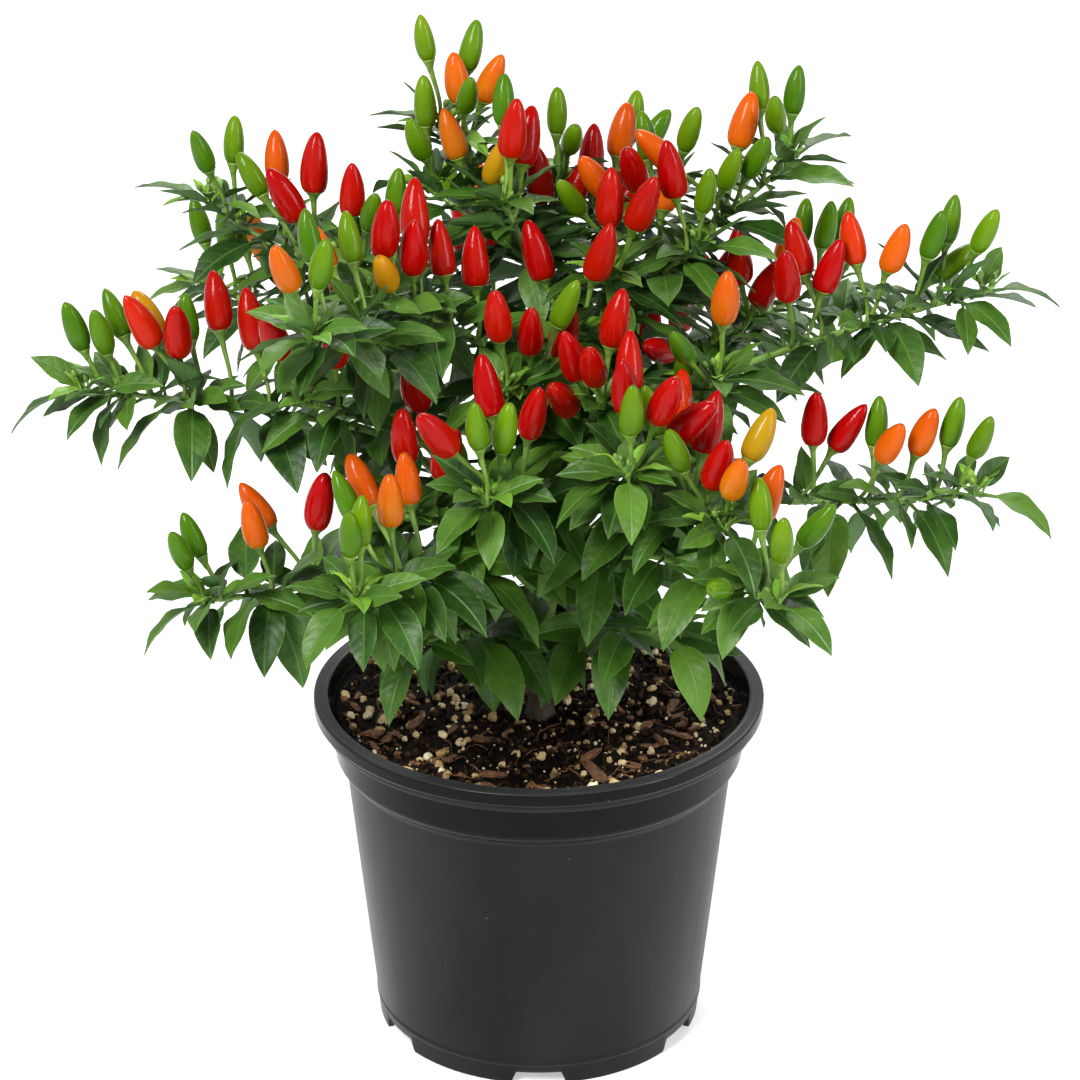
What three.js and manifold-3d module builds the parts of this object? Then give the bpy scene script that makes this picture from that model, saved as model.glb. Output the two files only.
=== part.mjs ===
// A dwarf chilli pepper plant in a round nursery pot of black plastic.
// Millimetres, +Z up, origin on the pot's axis at the surface that the pot stands on.
// Each leafy spray of the plant is a solid of its own, and starts face to face with the end of its limb.

import * as THREE from 'three';
import { mergeVertices } from 'three/addons/utils/BufferGeometryUtils.js';
import Module from 'manifold-3d';

const wasm = await Module();
wasm.setup();

// The pot
const POT_HEIGHT = 136;
const RIM_RADIUS = 85;
const MOUTH_RADIUS = 80;
const RIM_FACE = 5.2; // height of the rim's outer face
const BEAD_RADIUS = 83;
const COLLAR_TOP = 127;
const COLLAR_RADIUS = 77.9;
const STEP_TOP = 113;
const STEP_FOOT = 109;
const WALL_TOP_RADIUS = 73.4;
const BASE_RADIUS = 62;
const WALL = 1.9;
const EDGE = 0.7; // by how much edges are rounded, and the collar drafted
const FOOT_WIDTH = 2.6; // of the ring that the pot stands on
const FLOOR_UNDERSIDE = 5.6;
const FLOOR = 1.8;
const POT_SIDES = 32;
const FEET = 6;
const NOTCH_HEIGHT = 5;
const NOTCH_TOP_WIDTH = 17;
const NOTCH_FOOT_WIDTH = 21;
const DRAIN_RADIUS = 4;
const DRAIN_CIRCLE = 44;

// The soil
const SOIL_LEVEL = 124;
const SOIL_RELIEF = 1.1;
const GAP = 0.35; // between pieces that touch
const ROUND_GAP = 0.2; // added where the flats of one round piece face the corners of another
const PERLITE_GRAINS = 8;
const PERLITE_RADIUS = 2.6;
const BARK_CHIPS = 3;
const BARK_CHIP = [15, 5, 3];
const CHIP_RAISE = 0.5; // of a grain's middle over the soil
const FIRST_CHIP_REACH = 14; // from the pot's axis
const CHIP_SPREAD = 52;

// The plant
const TRUNK_DEPTH = 20;
const TRUNK_RADIUS = 5;
const TRUNK_SIDES = 5;
const BRANCHING = 0.55; // a limb's radius where it leaves its fork, against the fork's
const LIMB_RADIUS = 2;
const LIMB_SIDES = 3;
const STEM_BASE_RADIUS = 1.9;
const STEM_TIP_RADIUS = 1.4;
const STEM_SIDES = 3;
const FRUIT_SIDES = 5;
const FRUIT_GIRTH = 0.275; // radius against length
const FRUIT_LENGTH = { G: 18.5, Y: 18.5, O: 20, S: 21, R: 21.5 };
const STALK_FOOT_RADIUS = 0.55; // small enough to stay inside the stem that it grows from
const LEAF_THICKNESS = 0.7;
const LEAF_SPACING = 13;
const LEAF_LENGTH = 31; // of the youngest, with its stalk
const LEAF_GROWTH = 2.4; // added by each node further from the tip
const LEAF_LONGEST = 43;
const PETIOLE_SHARE = 0.2;
const BLADE_WIDTH = 0.46; // against the blade's length
const LEAF_FOLD = 14; // degrees that each half rises from the midrib
const PROBE_MARGIN = 0.6; // room that a fruit or leaf keeps to its neighbours

// How the leaves stand, in degrees and millimetres
const FIRST_LEAF_TURN = 12; // sideways from the stem, of the leaf at its tip
const LEAF_TURN = 38; // of the others, and what each further back adds
const LEAF_TURN_STEP = 13;
const LEAF_TURN_MOST = 105;
const LEAF_PITCH = 14; // upwards, at the leaf's foot
const LEAF_NOD = 38; // from its foot to its tip
const LOW_LEAF_PITCH = -16; // added to the leaves at the foot of the plant
const LOW_LEAF_NOD = 34;
const HANG_TOP = 320; // leaves hang more and more below this height
const HANG_DEPTH = 120;

const LEAF_GREEN = 0x2f6b2c;
const STEM_GREEN = 0x5d6b35;
const PLASTIC_BLACK = 0x2b2c2e;
const SOIL_BROWN = 0x2c211a;

// Forks of the trunk: where each lies, what it grows from, and its radius
const forks = {
  crown: { from: 'root', at: [1, 0, 150], radius: 4.4 },
  west: { from: 'crown', at: [-20, -6, 188], radius: 3 },
  east: { from: 'crown', at: [24, -6, 190], radius: 3 },
  south: { from: 'crown', at: [4, -22, 184], radius: 2.8 },
  north: { from: 'crown', at: [-2, 26, 190], radius: 3 },
  middle: { from: 'crown', at: [2, 4, 218], radius: 2.8 },
  west_high: { from: 'west', at: [-34, 2, 250], radius: 2.3 },
  east_high: { from: 'east', at: [38, 2, 250], radius: 2.3 },
  top: { from: 'middle', at: [0, 12, 272], radius: 2.3 },
  south_left: { from: 'south', at: [-10, -36, 206], radius: 2.2 },
  south_right: { from: 'south', at: [24, -40, 208], radius: 2.2 },
  north_left: { from: 'north', at: [-24, 48, 226], radius: 2.2 },
  north_right: { from: 'north', at: [24, 48, 226], radius: 2.2 },
};

// Leafy sprays: the fork each grows from, the base, bend and tip of its stem, its fruit, and
// by how much its leaves are longer than the others'.
// Each fruit has its colour (Green, Yellow, Orange, Scarlet, Red), then how far it stands back
// from the tip, how long its stalk is, and how many degrees it leans to +X and to +Y.
const sprays = {
  left_low: {
    from: 'west', base: [-50, -40, 203], bend: [-92, -70, 209], tip: [-119, -80, 210],
    fruit: 'G 2 17 -17 -18, G 8 17 -21 4, O 27 20 -10 -8, O 43 26 -33 7',
  },
  front_left: {
    from: 'south_left', base: [-14, -50, 215], bend: [-44, -92, 226], tip: [-63, -125, 231],
    fruit: 'G 0 19 0 -10, G 20 26 -23 14, O 32 28 -24 18, O 25 24 0 -5, O 42 28 -6 0',
  },
  front_left_inner: {
    from: 'south_left', base: [-21, -45, 226], bend: [-36, -68, 233], tip: [-46, -80, 243],
    fruit: 'R 4 22 -4 -4, R 12 21 16 -16',
  },
  left_mid: {
    from: 'west', base: [-68, -25, 254], bend: [-126, -30, 268], tip: [-163, -35, 271],
    fruit: 'G 8 18 -17 -5, G 25 23 -22 12, Y 41 25 -36 6, '
      + 'R 37 22 0 -20, R 54 27 -7 14, R 68 23 -18 7',
  },
  left_front: {
    from: 'west_high', base: [-45, -35, 285], bend: [-62, -62, 305], tip: [-78, -92, 313],
    fruit: 'G 1 20 11 -8, O 5 23 -17 -18, O 42 28 -28 12, G 40 27 -9 14',
  },
  left_inner: {
    from: 'west', base: [-32, -30, 243], bend: [-53, -40, 262], tip: [-84, -50, 273],
    fruit: 'R 14 24 2 -24',
  },
  left_high: {
    from: 'west_high', base: [-71, 15, 294], bend: [-107, 32, 306], tip: [-122, 40, 317],
    fruit: 'G 10 20 -17 -12, G 12 20 3 10, G 43 27 -30 10, O 35 25 -3 12, R 47 27 4 6',
  },
  high_left: {
    from: 'west_high', base: [-40, 10, 289], bend: [-60, 15, 298], tip: [-72, 20, 301],
    fruit: 'R 4 19 2 -5, G 7 19 13 -24, G 20 23 5 10',
  },
  high_left_front: {
    from: 'west_high', base: [-19, -20, 283], bend: [-41, -32, 300], tip: [-59, -45, 309],
    fruit: 'R 4 19 -2 -13, R 19 17 -13 -22, Y 13 15 20 -20, R 37 19 -6 9, R 50 20 -1 8',
  },
  top_left: {
    from: 'top', base: [-5, 15, 302], bend: [-30, 26, 320], tip: [-41, 32, 324],
    fruit: 'G 7 20 -18 -21, G 2 24 -3 3, O 24 25 -17 8',
  },
  top: {
    from: 'top', base: [-9, 25, 306], bend: [-24, 35, 330], tip: [-36, 44, 345],
    fruit: 'G 0 23 -10 7, G 7 25 13 11, O 19 24 -7 1, O 13 21 23 0',
  },
  top_right: {
    from: 'top', base: [-3, 8, 300], bend: [-7, 8, 318], tip: [-13, 8, 327],
    fruit: 'G 0 27 1 12, R 8 20 -14 5, R 2 20 14 -2',
  },
  top_back: {
    from: 'top', base: [2, 25, 291], bend: [2, 40, 312], tip: [8, 48, 322],
    fruit: 'G 5 21 1 7, R 30 21 -4 -4',
  },
  centre_high: {
    from: 'middle', base: [3, 0, 262], bend: [5, -12, 280], tip: [14, -16, 287],
    fruit: 'R 9 24 -16 8, R 1 22 16 -6',
  },
  right_high: {
    from: 'east_high', base: [48, 15, 303], bend: [75, 32, 318], tip: [95, 40, 335],
    fruit: 'G 7 19 7 5, G 18 27 -3 14, O 40 28 15 12, O 36 27 -13 14',
  },
  high_right_inner: {
    from: 'top', base: [20, 2, 280], bend: [28, 0, 298], tip: [24, -6, 305],
    fruit: 'R 1 18 2 1, R 6 25 12 -16',
  },
  high_right_back: {
    from: 'east_high', base: [24, 18, 288], bend: [34, 26, 306], tip: [47, 34, 318],
    fruit: 'G 0 22 -1 -18, R 10 18 -15 -26, O 18 24 -14 -10',
  },
  high_right: {
    from: 'east_high', base: [34, 8, 288], bend: [46, 3, 306], tip: [60, 2, 312],
    fruit: 'G 5 17 9 -9, O 27 28 11 14, R 8 25 -2 -4',
  },
  right_mid: {
    from: 'east', base: [83, -15, 277], bend: [129, -8, 291], tip: [163, 0, 296],
    fruit: 'G 16 22 22 -8, G 22 23 10 9, G 32 23 15 -6, O 48 23 18 -6, S 47 23 -3 7, '
      + 'R 72 22 18 -1, R 64 24 -16 9',
  },
  right_back: {
    from: 'east_high', base: [55, 10, 262], bend: [68, 15, 270], tip: [80, 22, 276],
    fruit: 'R 5 25 -7 -24',
  },
  right_inner: {
    from: 'east', base: [40, -32, 255], bend: [54, -44, 272], tip: [64, -50, 282],
    fruit: 'O 3 24 4 -9, G 27 20 8 -27',
  },
  right_low: {
    from: 'east', base: [83, -35, 229], bend: [124, -40, 230], tip: [158, -45, 236],
    fruit: 'G 11 19 19 -12, G 18 20 13 4, O 31 20 18 -7, O 45 22 21 -21, R 67 25 32 -3',
  },
  front_right: {
    from: 'south_right', base: [46, -70, 222], bend: [70, -115, 234], tip: [81, -130, 232],
    fruit: 'G 1 19 1 -14, G 8 23 -4 12, G 12 24 27 -10, O 25 24 10 0',
  },
  front_right_inner: {
    from: 'south_right', base: [34, -50, 228], bend: [48, -80, 250], tip: [64, -110, 250],
    fruit: 'O 6 19 27 -21, R 19 17 13 -23, Y 7 25 9 4, R 29 22 14 11, G 15 23 -20 -14, '
      + 'S 36 28 0 9',
  },
  front_mid_right: {
    from: 'south_right', base: [25, -50, 232], bend: [34, -75, 262], tip: [30, -104, 268],
    fruit: 'G 0 18 2 -12, R 13 24 -4 -8',
  },
  front_mid: {
    from: 'south_left', base: [0, -40, 222], bend: [-8, -72, 256], tip: [-18, -100, 256],
    fruit: 'G 0 23 -5 -10, G 8 18 9 -6, R 22 28 -10 8',
  },
  centre_left: {
    from: 'middle', base: [10, -15, 245], bend: [2, -35, 274], tip: [-14, -52, 278],
    fruit: 'R 4 23 -5 -16, R 17 22 2 -24, R 32 20 12 -6',
  },
  centre_right: {
    from: 'middle', base: [15, -28, 240], bend: [18, -48, 268], tip: [22, -58, 276],
    fruit: 'R 10 25 12 4, R 16 24 -14 -24',
  },
  back_left: {
    from: 'north_left', base: [-48, 46, 244], bend: [-92, 66, 262], tip: [-128, 84, 266],
    fruit: 'G 6 19 -14 8, G 22 20 -8 16, O 38 24 -20 6, R 70 22 -16 8',
  },
  back_mid: {
    from: 'north_left', base: [-14, 62, 246], bend: [-26, 94, 268], tip: [-34, 124, 272],
    fruit: 'G 4 18 -6 14, O 20 21 8 10, R 52 23 6 12',
  },
  back_right: {
    from: 'north_right', base: [44, 52, 240], bend: [82, 78, 258], tip: [116, 98, 262],
    fruit: 'G 6 18 14 10, G 20 22 6 16, R 54 23 8 14',
  },
  back_low_left: {
    from: 'north', base: [-38, 60, 204], bend: [-60, 88, 216], tip: [-78, 116, 220],
    fruit: 'G 6 18 -12 10, O 24 21 -4 14',
  },
  back_low_right: {
    from: 'north', base: [30, 64, 206], bend: [46, 94, 220], tip: [62, 122, 224],
    fruit: 'G 6 19 8 12, R 24 21 12 10, R 44 22 4 14',
  },
  back_high: {
    from: 'top', base: [8, 38, 284], bend: [20, 68, 298], tip: [34, 94, 304],
    fruit: 'G 4 19 8 10, O 20 21 12 12, R 38 22 4 14',
  },
  low_left: {
    from: 'crown', base: [-7, -12, 164], bend: [-26, -34, 178], tip: [-44, -52, 180],
    fruit: '', broad: 6,
  },
  low_right: {
    from: 'crown', base: [9, -12, 164], bend: [30, -34, 180], tip: [48, -50, 182],
    fruit: '', broad: 6,
  },
  low_back: {
    from: 'crown', base: [12, 14, 162], bend: [24, 36, 174], tip: [38, 60, 178],
    fruit: '', broad: 6,
  },
};

const vector = (xyz) => new THREE.Vector3(...xyz);
const radians = THREE.MathUtils.degToRad;

// A fixed draw between -1 and 1 for a piece's number and its draw's number
function draw(piece, number) {
  const value = Math.sin(piece * 127.1 + number * 311.7) * 43758.5453;
  return 2 * (value - Math.floor(value)) - 1;
}

// A closed geometry as a solid that can be joined and cut
function solidFrom(geometry) {
  const bare = geometry.clone();
  bare.deleteAttribute('normal');
  bare.deleteAttribute('uv');
  const merged = mergeVertices(bare, 1e-4);
  return new wasm.Manifold(new wasm.Mesh({
    numProp: 3,
    vertProperties: new Float32Array(merged.attributes.position.array),
    triVerts: new Uint32Array(merged.index.array),
  }));
}

function geometryFrom(solid) {
  const mesh = solid.getMesh();
  const geometry = new THREE.BufferGeometry();
  geometry.setAttribute('position', new THREE.BufferAttribute(mesh.vertProperties, 3));
  geometry.setIndex(new THREE.BufferAttribute(mesh.triVerts, 1));
  geometry.computeVertexNormals();
  return geometry;
}

// A closed skin over rings of equally many points, counter-clockwise about the way they follow.
// Points that are one and the same vector close a ring, or narrow it to fewer corners.
// The columns in `mirrored` are split along the other diagonal.
function skin(rings, mirrored = []) {
  const points = [...new Set(rings.flat())];
  const place = new Map(points.map((point, index) => [point, index]));
  const faces = [];
  const face = (a, b, c) => {
    if (a !== b && b !== c && c !== a) faces.push(place.get(a), place.get(b), place.get(c));
  };
  const sides = rings[0].length;
  const first = rings[0];
  const last = rings[rings.length - 1];
  for (let side = 1; side < sides - 1; side += 1) {
    face(first[0], first[side + 1], first[side]);
    face(last[0], last[side], last[side + 1]);
  }
  for (let row = 0; row < rings.length - 1; row += 1) {
    for (let side = 0; side < sides; side += 1) {
      const a = rings[row][side];
      const b = rings[row][(side + 1) % sides];
      const c = rings[row + 1][(side + 1) % sides];
      const d = rings[row + 1][side];
      if (mirrored.includes(side)) {
        face(a, b, d);
        face(b, c, d);
      } else {
        face(a, b, c);
        face(a, c, d);
      }
    }
  }
  const geometry = new THREE.BufferGeometry().setFromPoints(points);
  geometry.setIndex(faces);
  return geometry;
}

function ringAt(centre, right, up, radius, sides) {
  if (radius === 0) return Array(sides).fill(centre);
  return Array.from({ length: sides }, (_, side) => {
    const angle = (2 * Math.PI * side) / sides;
    return centre.clone()
      .addScaledVector(right, radius * Math.cos(angle))
      .addScaledVector(up, radius * Math.sin(angle));
  });
}

// A round stem along a curve, tapering from its base to its tip
function stemAlong(curve, baseRadius, tipRadius, sides, steps) {
  const frames = curve.computeFrenetFrames(steps, false);
  const rings = [];
  for (let step = 0; step <= steps; step += 1) {
    const share = step / steps;
    const radius = THREE.MathUtils.lerp(baseRadius, tipRadius, share);
    rings.push(ringAt(curve.getPointAt(share), frames.normals[step], frames.binormals[step], radius, sides));
  }
  return solidFrom(skin(rings));
}

// The pot's outline from the middle of its underside, round the outside, to the middle of its floor
function potOutline() {
  return [
    [0, FLOOR_UNDERSIDE],
    [BASE_RADIUS - FOOT_WIDTH + 0.2, FLOOR_UNDERSIDE],
    [BASE_RADIUS - FOOT_WIDTH, 0],
    [BASE_RADIUS, 0],
    [WALL_TOP_RADIUS, STEP_FOOT],
    [COLLAR_RADIUS - EDGE, STEP_TOP],
    [COLLAR_RADIUS, COLLAR_TOP],
    [BEAD_RADIUS, COLLAR_TOP + EDGE],
    [RIM_RADIUS, POT_HEIGHT - RIM_FACE],
    [RIM_RADIUS, POT_HEIGHT - EDGE],
    [RIM_RADIUS - EDGE, POT_HEIGHT],
    [MOUTH_RADIUS + EDGE, POT_HEIGHT],
    [COLLAR_RADIUS - WALL, COLLAR_TOP],
    [COLLAR_RADIUS - EDGE - WALL, STEP_TOP],
    [WALL_TOP_RADIUS - WALL, STEP_FOOT],
    [BASE_RADIUS - WALL + EDGE, FLOOR_UNDERSIDE + FLOOR],
    [0, FLOOR_UNDERSIDE + FLOOR],
  ].map(([radius, height]) => new THREE.Vector2(radius, height));
}

function lathe(outline, sides) {
  return new THREE.LatheGeometry(outline, sides).rotateX(Math.PI / 2);
}

// The pot stands on the feet that six notches leave of its foot ring
function makePot() {
  const halfTop = NOTCH_TOP_WIDTH / 2;
  const below = -1;
  const flare = (NOTCH_FOOT_WIDTH / 2 - halfTop) / NOTCH_HEIGHT;
  const halfBelow = halfTop + flare * (NOTCH_HEIGHT - below);
  const notch = new THREE.Shape([
    new THREE.Vector2(-halfBelow, below),
    new THREE.Vector2(halfBelow, below),
    new THREE.Vector2(halfTop, NOTCH_HEIGHT),
    new THREE.Vector2(-halfTop, NOTCH_HEIGHT),
  ]);
  const across = 2 * BASE_RADIUS + 20;
  let pot = solidFrom(lathe(potOutline(), POT_SIDES));
  for (let turn = 0; turn < FEET / 2; turn += 1) {
    const channel = new THREE.ExtrudeGeometry(notch, { depth: across, bevelEnabled: false })
      .translate(0, 0, -across / 2)
      .rotateX(Math.PI / 2)
      .rotateZ((turn * 2 * Math.PI) / FEET);
    pot = pot.subtract(solidFrom(channel));
  }
  for (let hole = 0; hole < FEET; hole += 1) {
    const angle = ((hole + 0.5) * 2 * Math.PI) / FEET;
    const drain = new THREE.CylinderGeometry(DRAIN_RADIUS, DRAIN_RADIUS, 4 * FLOOR, 6)
      .rotateX(Math.PI / 2)
      .translate(DRAIN_CIRCLE * Math.cos(angle), DRAIN_CIRCLE * Math.sin(angle), FLOOR_UNDERSIDE);
    pot = pot.subtract(solidFrom(drain));
  }
  return pot;
}

// Height of the soil's surface: low waves that die out at the wall
function soilHeight(x, y) {
  const edge = 1 - (x * x + y * y) / (MOUTH_RADIUS * MOUTH_RADIUS);
  return SOIL_LEVEL + SOIL_RELIEF * (Math.sin(x * 0.09 + 1) * Math.cos(y * 0.11) + 1) * edge;
}

// Moist peat with grains of perlite and chips of bark, and a plain hole that the trunk stands in
function makeSoil() {
  const outerRadius = COLLAR_RADIUS - EDGE / 2 - WALL - GAP;
  const outline = [
    [0, FLOOR_UNDERSIDE + FLOOR + GAP],
    [BASE_RADIUS - WALL + EDGE - GAP, FLOOR_UNDERSIDE + FLOOR + GAP],
    [WALL_TOP_RADIUS - WALL - GAP, STEP_FOOT],
    [COLLAR_RADIUS - EDGE - WALL - GAP, STEP_TOP],
    [outerRadius, SOIL_LEVEL],
    [(2 / 3) * outerRadius, SOIL_LEVEL],
    [(1 / 3) * outerRadius, SOIL_LEVEL],
    [0, SOIL_LEVEL],
  ].map(([radius, height]) => new THREE.Vector2(radius, height));
  const bed = lathe(outline, POT_SIDES);
  const spots = bed.attributes.position;
  for (let spot = 0; spot < spots.count; spot += 1) {
    if (Math.abs(spots.getZ(spot) - SOIL_LEVEL) < 1e-3) {
      spots.setZ(spot, soilHeight(spots.getX(spot), spots.getY(spot)));
    }
  }
  const pieces = [solidFrom(bed)];
  const goldenAngle = Math.PI * (3 - Math.sqrt(5));
  const total = PERLITE_GRAINS + BARK_CHIPS;
  for (let number = 0; number < total; number += 1) {
    const reach = FIRST_CHIP_REACH + CHIP_SPREAD * Math.sqrt((number + 0.5) / total);
    const angle = number * goldenAngle + 0.4 * draw(number, 1);
    const x = reach * Math.cos(angle);
    const y = reach * Math.sin(angle);
    const isBark = number % 4 === 1 && number / 4 < BARK_CHIPS;
    const size = 1 + 0.25 * draw(number, 2);
    const chip = isBark
      ? new THREE.BoxGeometry(BARK_CHIP[0] * size, BARK_CHIP[1], BARK_CHIP[2])
      : new THREE.OctahedronGeometry(PERLITE_RADIUS * size);
    chip.rotateX(0.2 * draw(number, 3)).rotateZ(Math.PI * draw(number, 4));
    chip.translate(x, y, soilHeight(x, y) + CHIP_RAISE);
    pieces.push(solidFrom(chip));
  }
  const holeRadius = TRUNK_RADIUS + GAP + ROUND_GAP;
  const hole = new THREE.CylinderGeometry(holeRadius, holeRadius, 2 * TRUNK_DEPTH, TRUNK_SIDES)
    .rotateX(Math.PI / 2)
    .translate(0, 0, SOIL_LEVEL - GAP);
  return wasm.Manifold.union(pieces).subtract(solidFrom(hole));
}

const stems = Object.fromEntries(Object.entries(sprays).map(([name, spray]) => [
  name,
  new THREE.QuadraticBezierCurve3(vector(spray.base), vector(spray.bend), vector(spray.tip)),
]));

// A limb from its fork to where it ends, arriving in the given direction
function limb(from, end, arrival) {
  const pull = 0.45 * from.distanceTo(end);
  return new THREE.QuadraticBezierCurve3(from, end.clone().addScaledVector(arrival, -pull), end);
}

// The trunk with all its forks and limbs, up to where each leafy spray starts
function makeTrunk() {
  const foot = new THREE.Vector3(0, 0, SOIL_LEVEL - TRUNK_DEPTH);
  const pieces = [];
  for (const fork of Object.values(forks)) {
    const from = fork.from === 'root' ? foot : vector(forks[fork.from].at);
    const fromRadius = fork.from === 'root' ? TRUNK_RADIUS : forks[fork.from].radius * BRANCHING;
    const end = vector(fork.at);
    const rise = new THREE.Vector3(0, 0, 0.5 * from.distanceTo(end));
    const arrival = end.clone().sub(from).add(rise).normalize();
    pieces.push(stemAlong(limb(from, end, arrival), fromRadius, fork.radius, TRUNK_SIDES, 2));
  }
  for (const [name, spray] of Object.entries(sprays)) {
    const arrival = stems[name].getTangent(0);
    const end = stems[name].getPoint(0).addScaledVector(arrival, -GAP);
    const fork = forks[spray.from];
    const route = limb(vector(fork.at), end, arrival);
    pieces.push(stemAlong(route, fork.radius * BRANCHING, LIMB_RADIUS, LIMB_SIDES, 2));
  }
  return wasm.Manifold.union(pieces);
}

// An upright fruit on its stalk. The shoulder is the widest, and the tip is blunt.
// A probe is a little wider and leaves the foot of the stalk out.
function makeFruit(place, probe = false) {
  const swell = probe ? PROBE_MARGIN : 0;
  const side = new THREE.Vector3(0, 1, 0).cross(place.along).normalize();
  const front = place.along.clone().cross(side);
  const girth = FRUIT_GIRTH * place.length;
  const rows = [
    [probe ? 4 : 0, STALK_FOOT_RADIUS + swell],
    [place.stalk, 1.4 + swell],
    [place.stalk + 0.24 * place.length, girth + swell],
    [place.stalk + 0.74 * place.length, 0.62 * girth + swell],
    [place.stalk + place.length + swell, 0],
  ];
  return solidFrom(skin(rows.map(([far, radius], row) => {
    const centre = place.root.clone().addScaledVector(place.along, far);
    if (row > 1) return ringAt(centre, side, front, radius, FRUIT_SIDES);
    const [a, b, c] = ringAt(centre, side, front, radius, 3);
    return [a, a, b, c, c];
  })));
}

// Where a spray's fruit stand: the listed lean first, then leans further to either side
const FRUIT_TURNS = [0, 8, -8, 16, -16, 24, -24, 32, -32, 40, -40];

function fruitPlaces(name, number, entry) {
  const [colour, ...values] = entry.trim().split(' ');
  const [back, stalk, lean, nod] = values.map(Number);
  const stem = stems[name];
  const root = stem.getPointAt(1 - back / stem.getLength());
  const length = FRUIT_LENGTH[colour] + 1.2 * draw(number, back);
  return FRUIT_TURNS.map((turn) => {
    const across = radians(lean + turn);
    const away = radians(nod + 0.5 * turn);
    const along = new THREE.Vector3(
      Math.sin(across) * Math.cos(away),
      Math.sin(away),
      Math.cos(across) * Math.cos(away),
    );
    return { root, along, stalk, length };
  });
}

// A leaf on its stalk. Its midrib is an arc that starts at `pitch` and nods by `droop` over its length.
function midribPoint(place, share) {
  const end = place.pitch - place.droop * share;
  const out = (place.length * (Math.sin(place.pitch) - Math.sin(end))) / place.droop;
  const rise = (place.length * (Math.cos(end) - Math.cos(place.pitch))) / place.droop;
  return new THREE.Vector3(out * Math.cos(place.heading), out * Math.sin(place.heading), rise)
    .add(place.root);
}

// The half width of the blade at four stations: share of the leaf's length, share of the full half width
const LEAF_STATIONS = [
  [0, 0.09],
  [PETIOLE_SHARE, 0.15],
  [PETIOLE_SHARE + 0.36 * (1 - PETIOLE_SHARE), 1],
  [PETIOLE_SHARE + 0.7 * (1 - PETIOLE_SHARE), 0.68],
];

function makeLeaf(place, probe = false) {
  const swell = probe ? PROBE_MARGIN : 0;
  const thickness = LEAF_THICKNESS + 2 * swell;
  const fullHalfWidth = 0.5 * BLADE_WIDTH * place.length * (1 - PETIOLE_SHARE);
  const rings = LEAF_STATIONS.map(([share, width], station) => {
    const start = probe && station === 0 ? 0.1 : share;
    const pitch = place.pitch - place.droop * start;
    const ahead = new THREE.Vector3(
      Math.cos(place.heading) * Math.cos(pitch),
      Math.sin(place.heading) * Math.cos(pitch),
      Math.sin(pitch),
    );
    const level = new THREE.Vector3(-Math.sin(place.heading), Math.cos(place.heading), 0);
    const left = level.applyAxisAngle(ahead, place.roll);
    const up = ahead.clone().cross(left);
    const middle = midribPoint(place, start);
    const halfWidth = fullHalfWidth * width + swell;
    const narrow = station < 2;
    const lift = narrow ? 0 : halfWidth * Math.sin(radians(LEAF_FOLD));
    const reach = narrow ? halfWidth : halfWidth * Math.cos(radians(LEAF_FOLD));
    const corner = (sideways, raise) => middle.clone()
      .addScaledVector(left, sideways)
      .addScaledVector(up, raise);
    const topLeft = corner(reach, lift + thickness / 2);
    const topRight = corner(-reach, lift + thickness / 2);
    const footLeft = corner(reach, lift - thickness / 2);
    const footRight = corner(-reach, lift - thickness / 2);
    const footMiddle = corner(0, -thickness / 2);
    if (narrow) return [topLeft, topRight, topRight, footMiddle, footMiddle, footMiddle];
    const topMiddle = corner(0, thickness / 2);
    return [topLeft, topMiddle, topRight, footRight, footMiddle, footLeft];
  });
  rings.push(Array(6).fill(midribPoint(place, 1)));
  return solidFrom(skin(rings, [3, 4]));
}

// Leaves stand at even steps back from the tip, by turns on either side of the stem. They are longer
// and nod more the further back and the lower they are. Each is turned until it is clear.
const LEAF_TURNS = [0, 20, -20, 40, -40, 65, -65, 95, -95];
const LEAF_PITCHES = [0, -25, 22];

function leafPlaces(name, number, count, index) {
  const stem = stems[name];
  const spacing = Math.min(LEAF_SPACING, (stem.getLength() - 5) / (count - 0.5));
  const back = 1.5 + spacing * index;
  const share = 1 - back / stem.getLength();
  const root = stem.getPointAt(share);
  const ahead = stem.getTangentAt(share);
  const onward = Math.atan2(ahead.y, ahead.x);
  const chance = (which) => draw(number + 40, 7 * index + which);
  const side = (index + number) % 2 === 0 ? 1 : -1;
  const aside = index === 0 ? FIRST_LEAF_TURN : Math.min(LEAF_TURN + LEAF_TURN_STEP * index, LEAF_TURN_MOST);
  const low = THREE.MathUtils.clamp((HANG_TOP - root.z) / HANG_DEPTH, 0, 1);
  const broad = sprays[name].broad ?? 0;
  const length = Math.min(LEAF_LENGTH + broad + LEAF_GROWTH * index, LEAF_LONGEST) + 2.5 * chance(1);
  const heading = onward + radians(side * aside + 14 * chance(2));
  const pitch = radians(LEAF_PITCH + LOW_LEAF_PITCH * low + 9 * chance(3));
  const droop = radians(LEAF_NOD + LOW_LEAF_NOD * low + 12 * chance(4));
  const roll = radians(18 * chance(5));
  return LEAF_PITCHES.flatMap((tilt) => LEAF_TURNS.map((turn) => ({
    root,
    heading: heading + radians(side * turn),
    pitch: pitch + radians(tilt),
    droop,
    roll,
    length,
  })));
}

function leafCount(name) {
  return Math.max(4, Math.round(stems[name].getLength() / LEAF_SPACING) - 1);
}

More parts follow.
